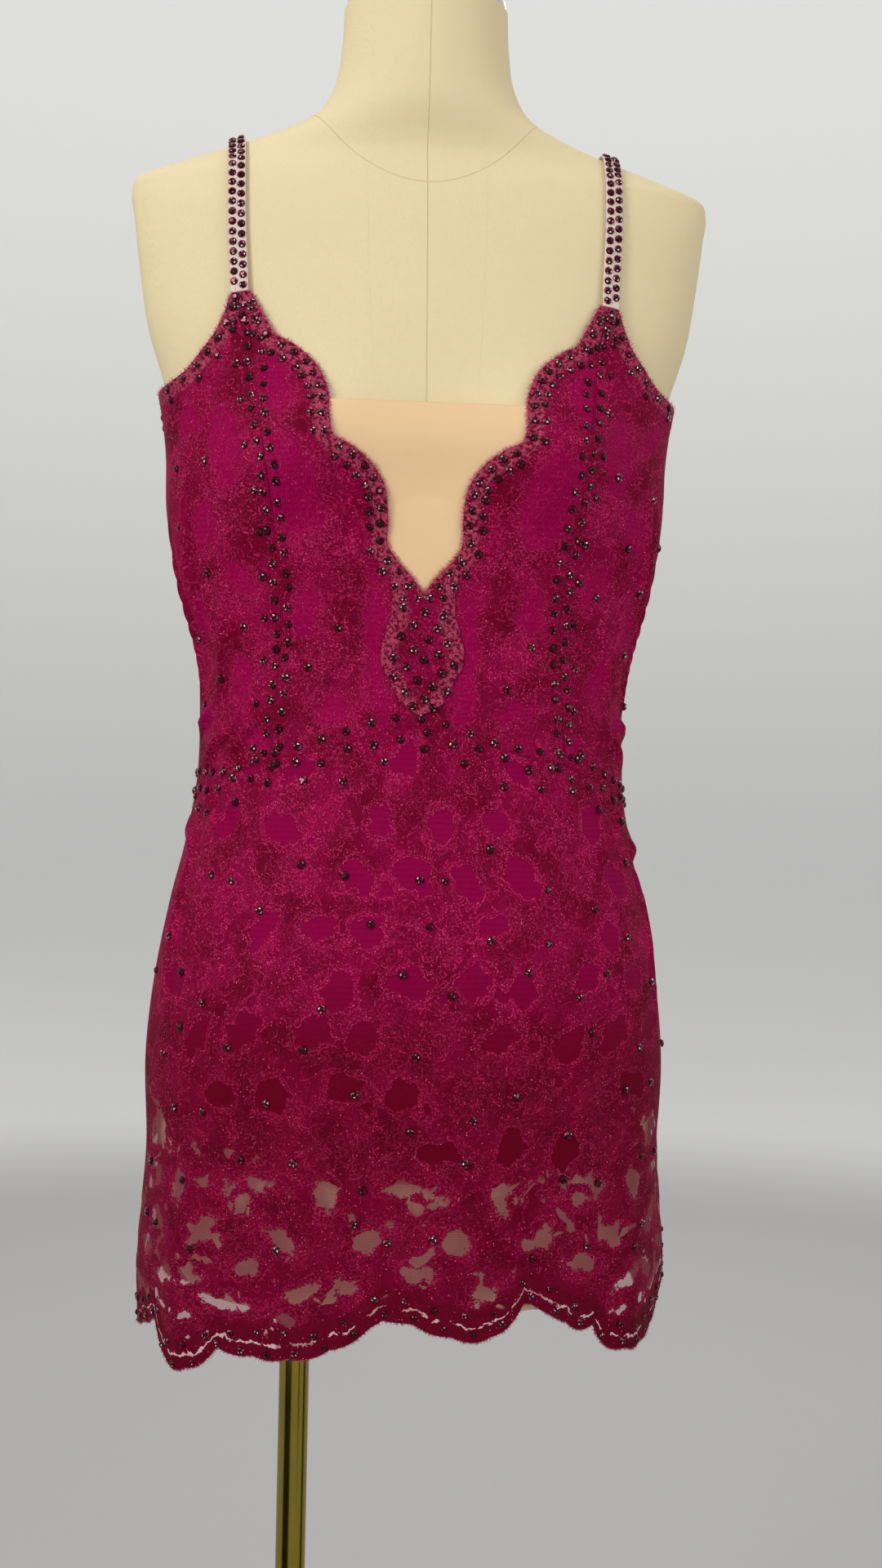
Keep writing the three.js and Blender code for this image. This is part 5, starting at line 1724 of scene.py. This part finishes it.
class DRESS_OT_stage(bpy.types.Operator):
    """Make the plain studio, its soft lights and the camera"""
    bl_idname = "dress.stage"
    bl_label = "Stage"

    def execute(self, context):
        given = context.scene.dance_stage
        scene = context.scene
        turns = np.linspace(0, np.pi / 2, 16)
        profile = [(1, STUDIO_LEVEL), (STUDIO_FLOOR, STUDIO_LEVEL)]
        profile += [(STUDIO_FLOOR + STUDIO_BEND * math.sin(t),
                     STUDIO_LEVEL + STUDIO_BEND * (1 - math.cos(t))) for t in turns[1:]]
        profile += [(STUDIO_WALL, STUDIO_TOP)]
        around = np.arange(STUDIO_SIDES) / STUDIO_SIDES * 2 * np.pi
        rings = [np.stack([r * np.sin(around), -r * np.cos(around), np.full(STUDIO_SIDES, z)], -1)
                 for r, z in profile]
        points = np.concatenate(rings)
        index = ring_index(len(rings), STUDIO_SIDES)
        mesh = build_mesh("studio", points, grid_faces(index)[:, ::-1].tolist() + [list(index[0, :-1])])
        made, graph, inputs = material("studio_paint", Roughness=0.95, Emission_Strength=1.0)
        # Painted light on the studio: the paint is painted lighter up the wall, much darker on the floor and
        # mottled a little at random
        place = graph.place()
        level = graph.split(place)[2]
        height = level.step(0.0, 3.6)
        low = tint(given.floor_color, 0.90)
        paint_with_painted_falloff = graph.blend(height, low, tint(given.floor_color, 1.1))
        paint_with_painted_falloff = graph.blend(level.step(0.13, -0.03), paint_with_painted_falloff, tint(given.floor_color, 0.36))
        graph.feed(inputs["Base Color"], graph.blend(graph.noise(place, 0.6, 1.0) * 0.1, paint_with_painted_falloff, low))
        # Painted glow from the emission, lighting the studio though it is no lamp: strongest high on the
        # wall, less low down and on the floor
        painted_glow = graph.blend(height, (0.082, 0.081, 0.076), (0.33, 0.327, 0.315))
        painted_glow = graph.blend(level.step(0.9, 0.1), painted_glow, (0.175, 0.170, 0.168))
        graph.feed(inputs["Emission Color"], painted_glow)
        studio = plain_object("studio", mesh, made)

        for row in LAMPS:
            lamp = bpy.data.lights.new(row.name, "AREA")
            lamp.shape = "DISK"
            lamp.size = row.size
            lamp.energy = row.power
            lamp.color = row.color
            holder = bpy.data.objects.new(row.name, lamp)
            holder.location = row.place
            aim = Vector((0, 0, row.aim)) - Vector(row.place)
            holder.rotation_euler = aim.to_track_quat("-Z", "Y").to_euler()
            scene.collection.objects.link(holder)

        card_paint = material("card_paint", Roughness=1.0, Base_Color=(0.01, 0.01, 0.01, 1))[0]
        for word, x, y, half, tall in CARDS:
            across = Vector((-y, x, 0)) / math.hypot(x, y) * half
            corners = [(x - across.x, y - across.y, 0), (x + across.x, y + across.y, 0),
                       (x + across.x, y + across.y, tall), (x - across.x, y - across.y, tall)]
            sheet = build_mesh(f"card_{word}", np.array(corners) / MM, [(0, 1, 2, 3)])
            card = plain_object(f"card_{word}", sheet, card_paint)
            card.visible_camera = False
            card.visible_diffuse = False
            card.visible_shadow = False

        world = bpy.data.worlds.new("studio_air")
        world.use_nodes = True
        air = world.node_tree.nodes["Background"].inputs
        air["Color"].default_value = AIR_COLOR
        air["Strength"].default_value = AIR_STRENGTH
        scene.world = world
        scene.view_settings.view_transform = "Standard"

        camera = bpy.data.cameras.new("camera")
        camera.lens = CAMERA_LENS
        camera.sensor_width = CAMERA_SENSOR
        camera.sensor_fit = "AUTO"
        holder = bpy.data.objects.new("camera", camera)
        place = Vector((CAMERA_ASIDE, -given.camera_distance, given.camera_height))
        yaw = math.radians(CAMERA_TURN)
        forward = Vector((math.sin(-yaw), math.cos(yaw), 0))
        turn = forward.to_track_quat("-Z", "Y").to_matrix().to_4x4()
        holder.matrix_world = (Matrix.Translation(place) @ turn
                               @ Matrix.Rotation(math.radians(CAMERA_ROLL), 4, "Z"))
        scene.collection.objects.link(holder)
        scene.camera = holder
        return {"FINISHED"}


OPERATORS = (
    DRESS_OT_stage, DRESS_OT_form, DRESS_OT_stand, DRESS_OT_bodice, DRESS_OT_skirt, DRESS_OT_neckline,
    DRESS_OT_straps, DRESS_OT_seams, DRESS_OT_stones, DRESS_OT_lashes,
)


class DRESS_PT_pieces(bpy.types.Panel):
    """The dress's pieces, settings and stage"""
    bl_label = "Lyrical dance dress"
    bl_idname = "DRESS_PT_pieces"
    bl_space_type = "VIEW_3D"
    bl_region_type = "UI"
    bl_category = "Dress"

    def draw(self, context):
        for settings in (context.scene.dance_dress, context.scene.dance_stage):
            for name in settings.__annotations__:
                self.layout.prop(settings, name)
        for operator in OPERATORS:
            self.layout.operator(operator.bl_idname)


CLASSES = (DressSettings, StageSettings, *OPERATORS, DRESS_PT_pieces)


def register():
    for item in CLASSES:
        bpy.utils.register_class(item)
    bpy.types.Scene.dance_dress = bpy.props.PointerProperty(type=DressSettings)
    bpy.types.Scene.dance_stage = bpy.props.PointerProperty(type=StageSettings)


def unregister():
    del bpy.types.Scene.dance_stage
    del bpy.types.Scene.dance_dress
    for item in reversed(CLASSES):
        bpy.utils.unregister_class(item)


def main():
    register()
    for operator in OPERATORS:
        group, name = operator.bl_idname.split(".")
        getattr(getattr(bpy.ops, group), name)()


if __name__ == "__main__":
    main()
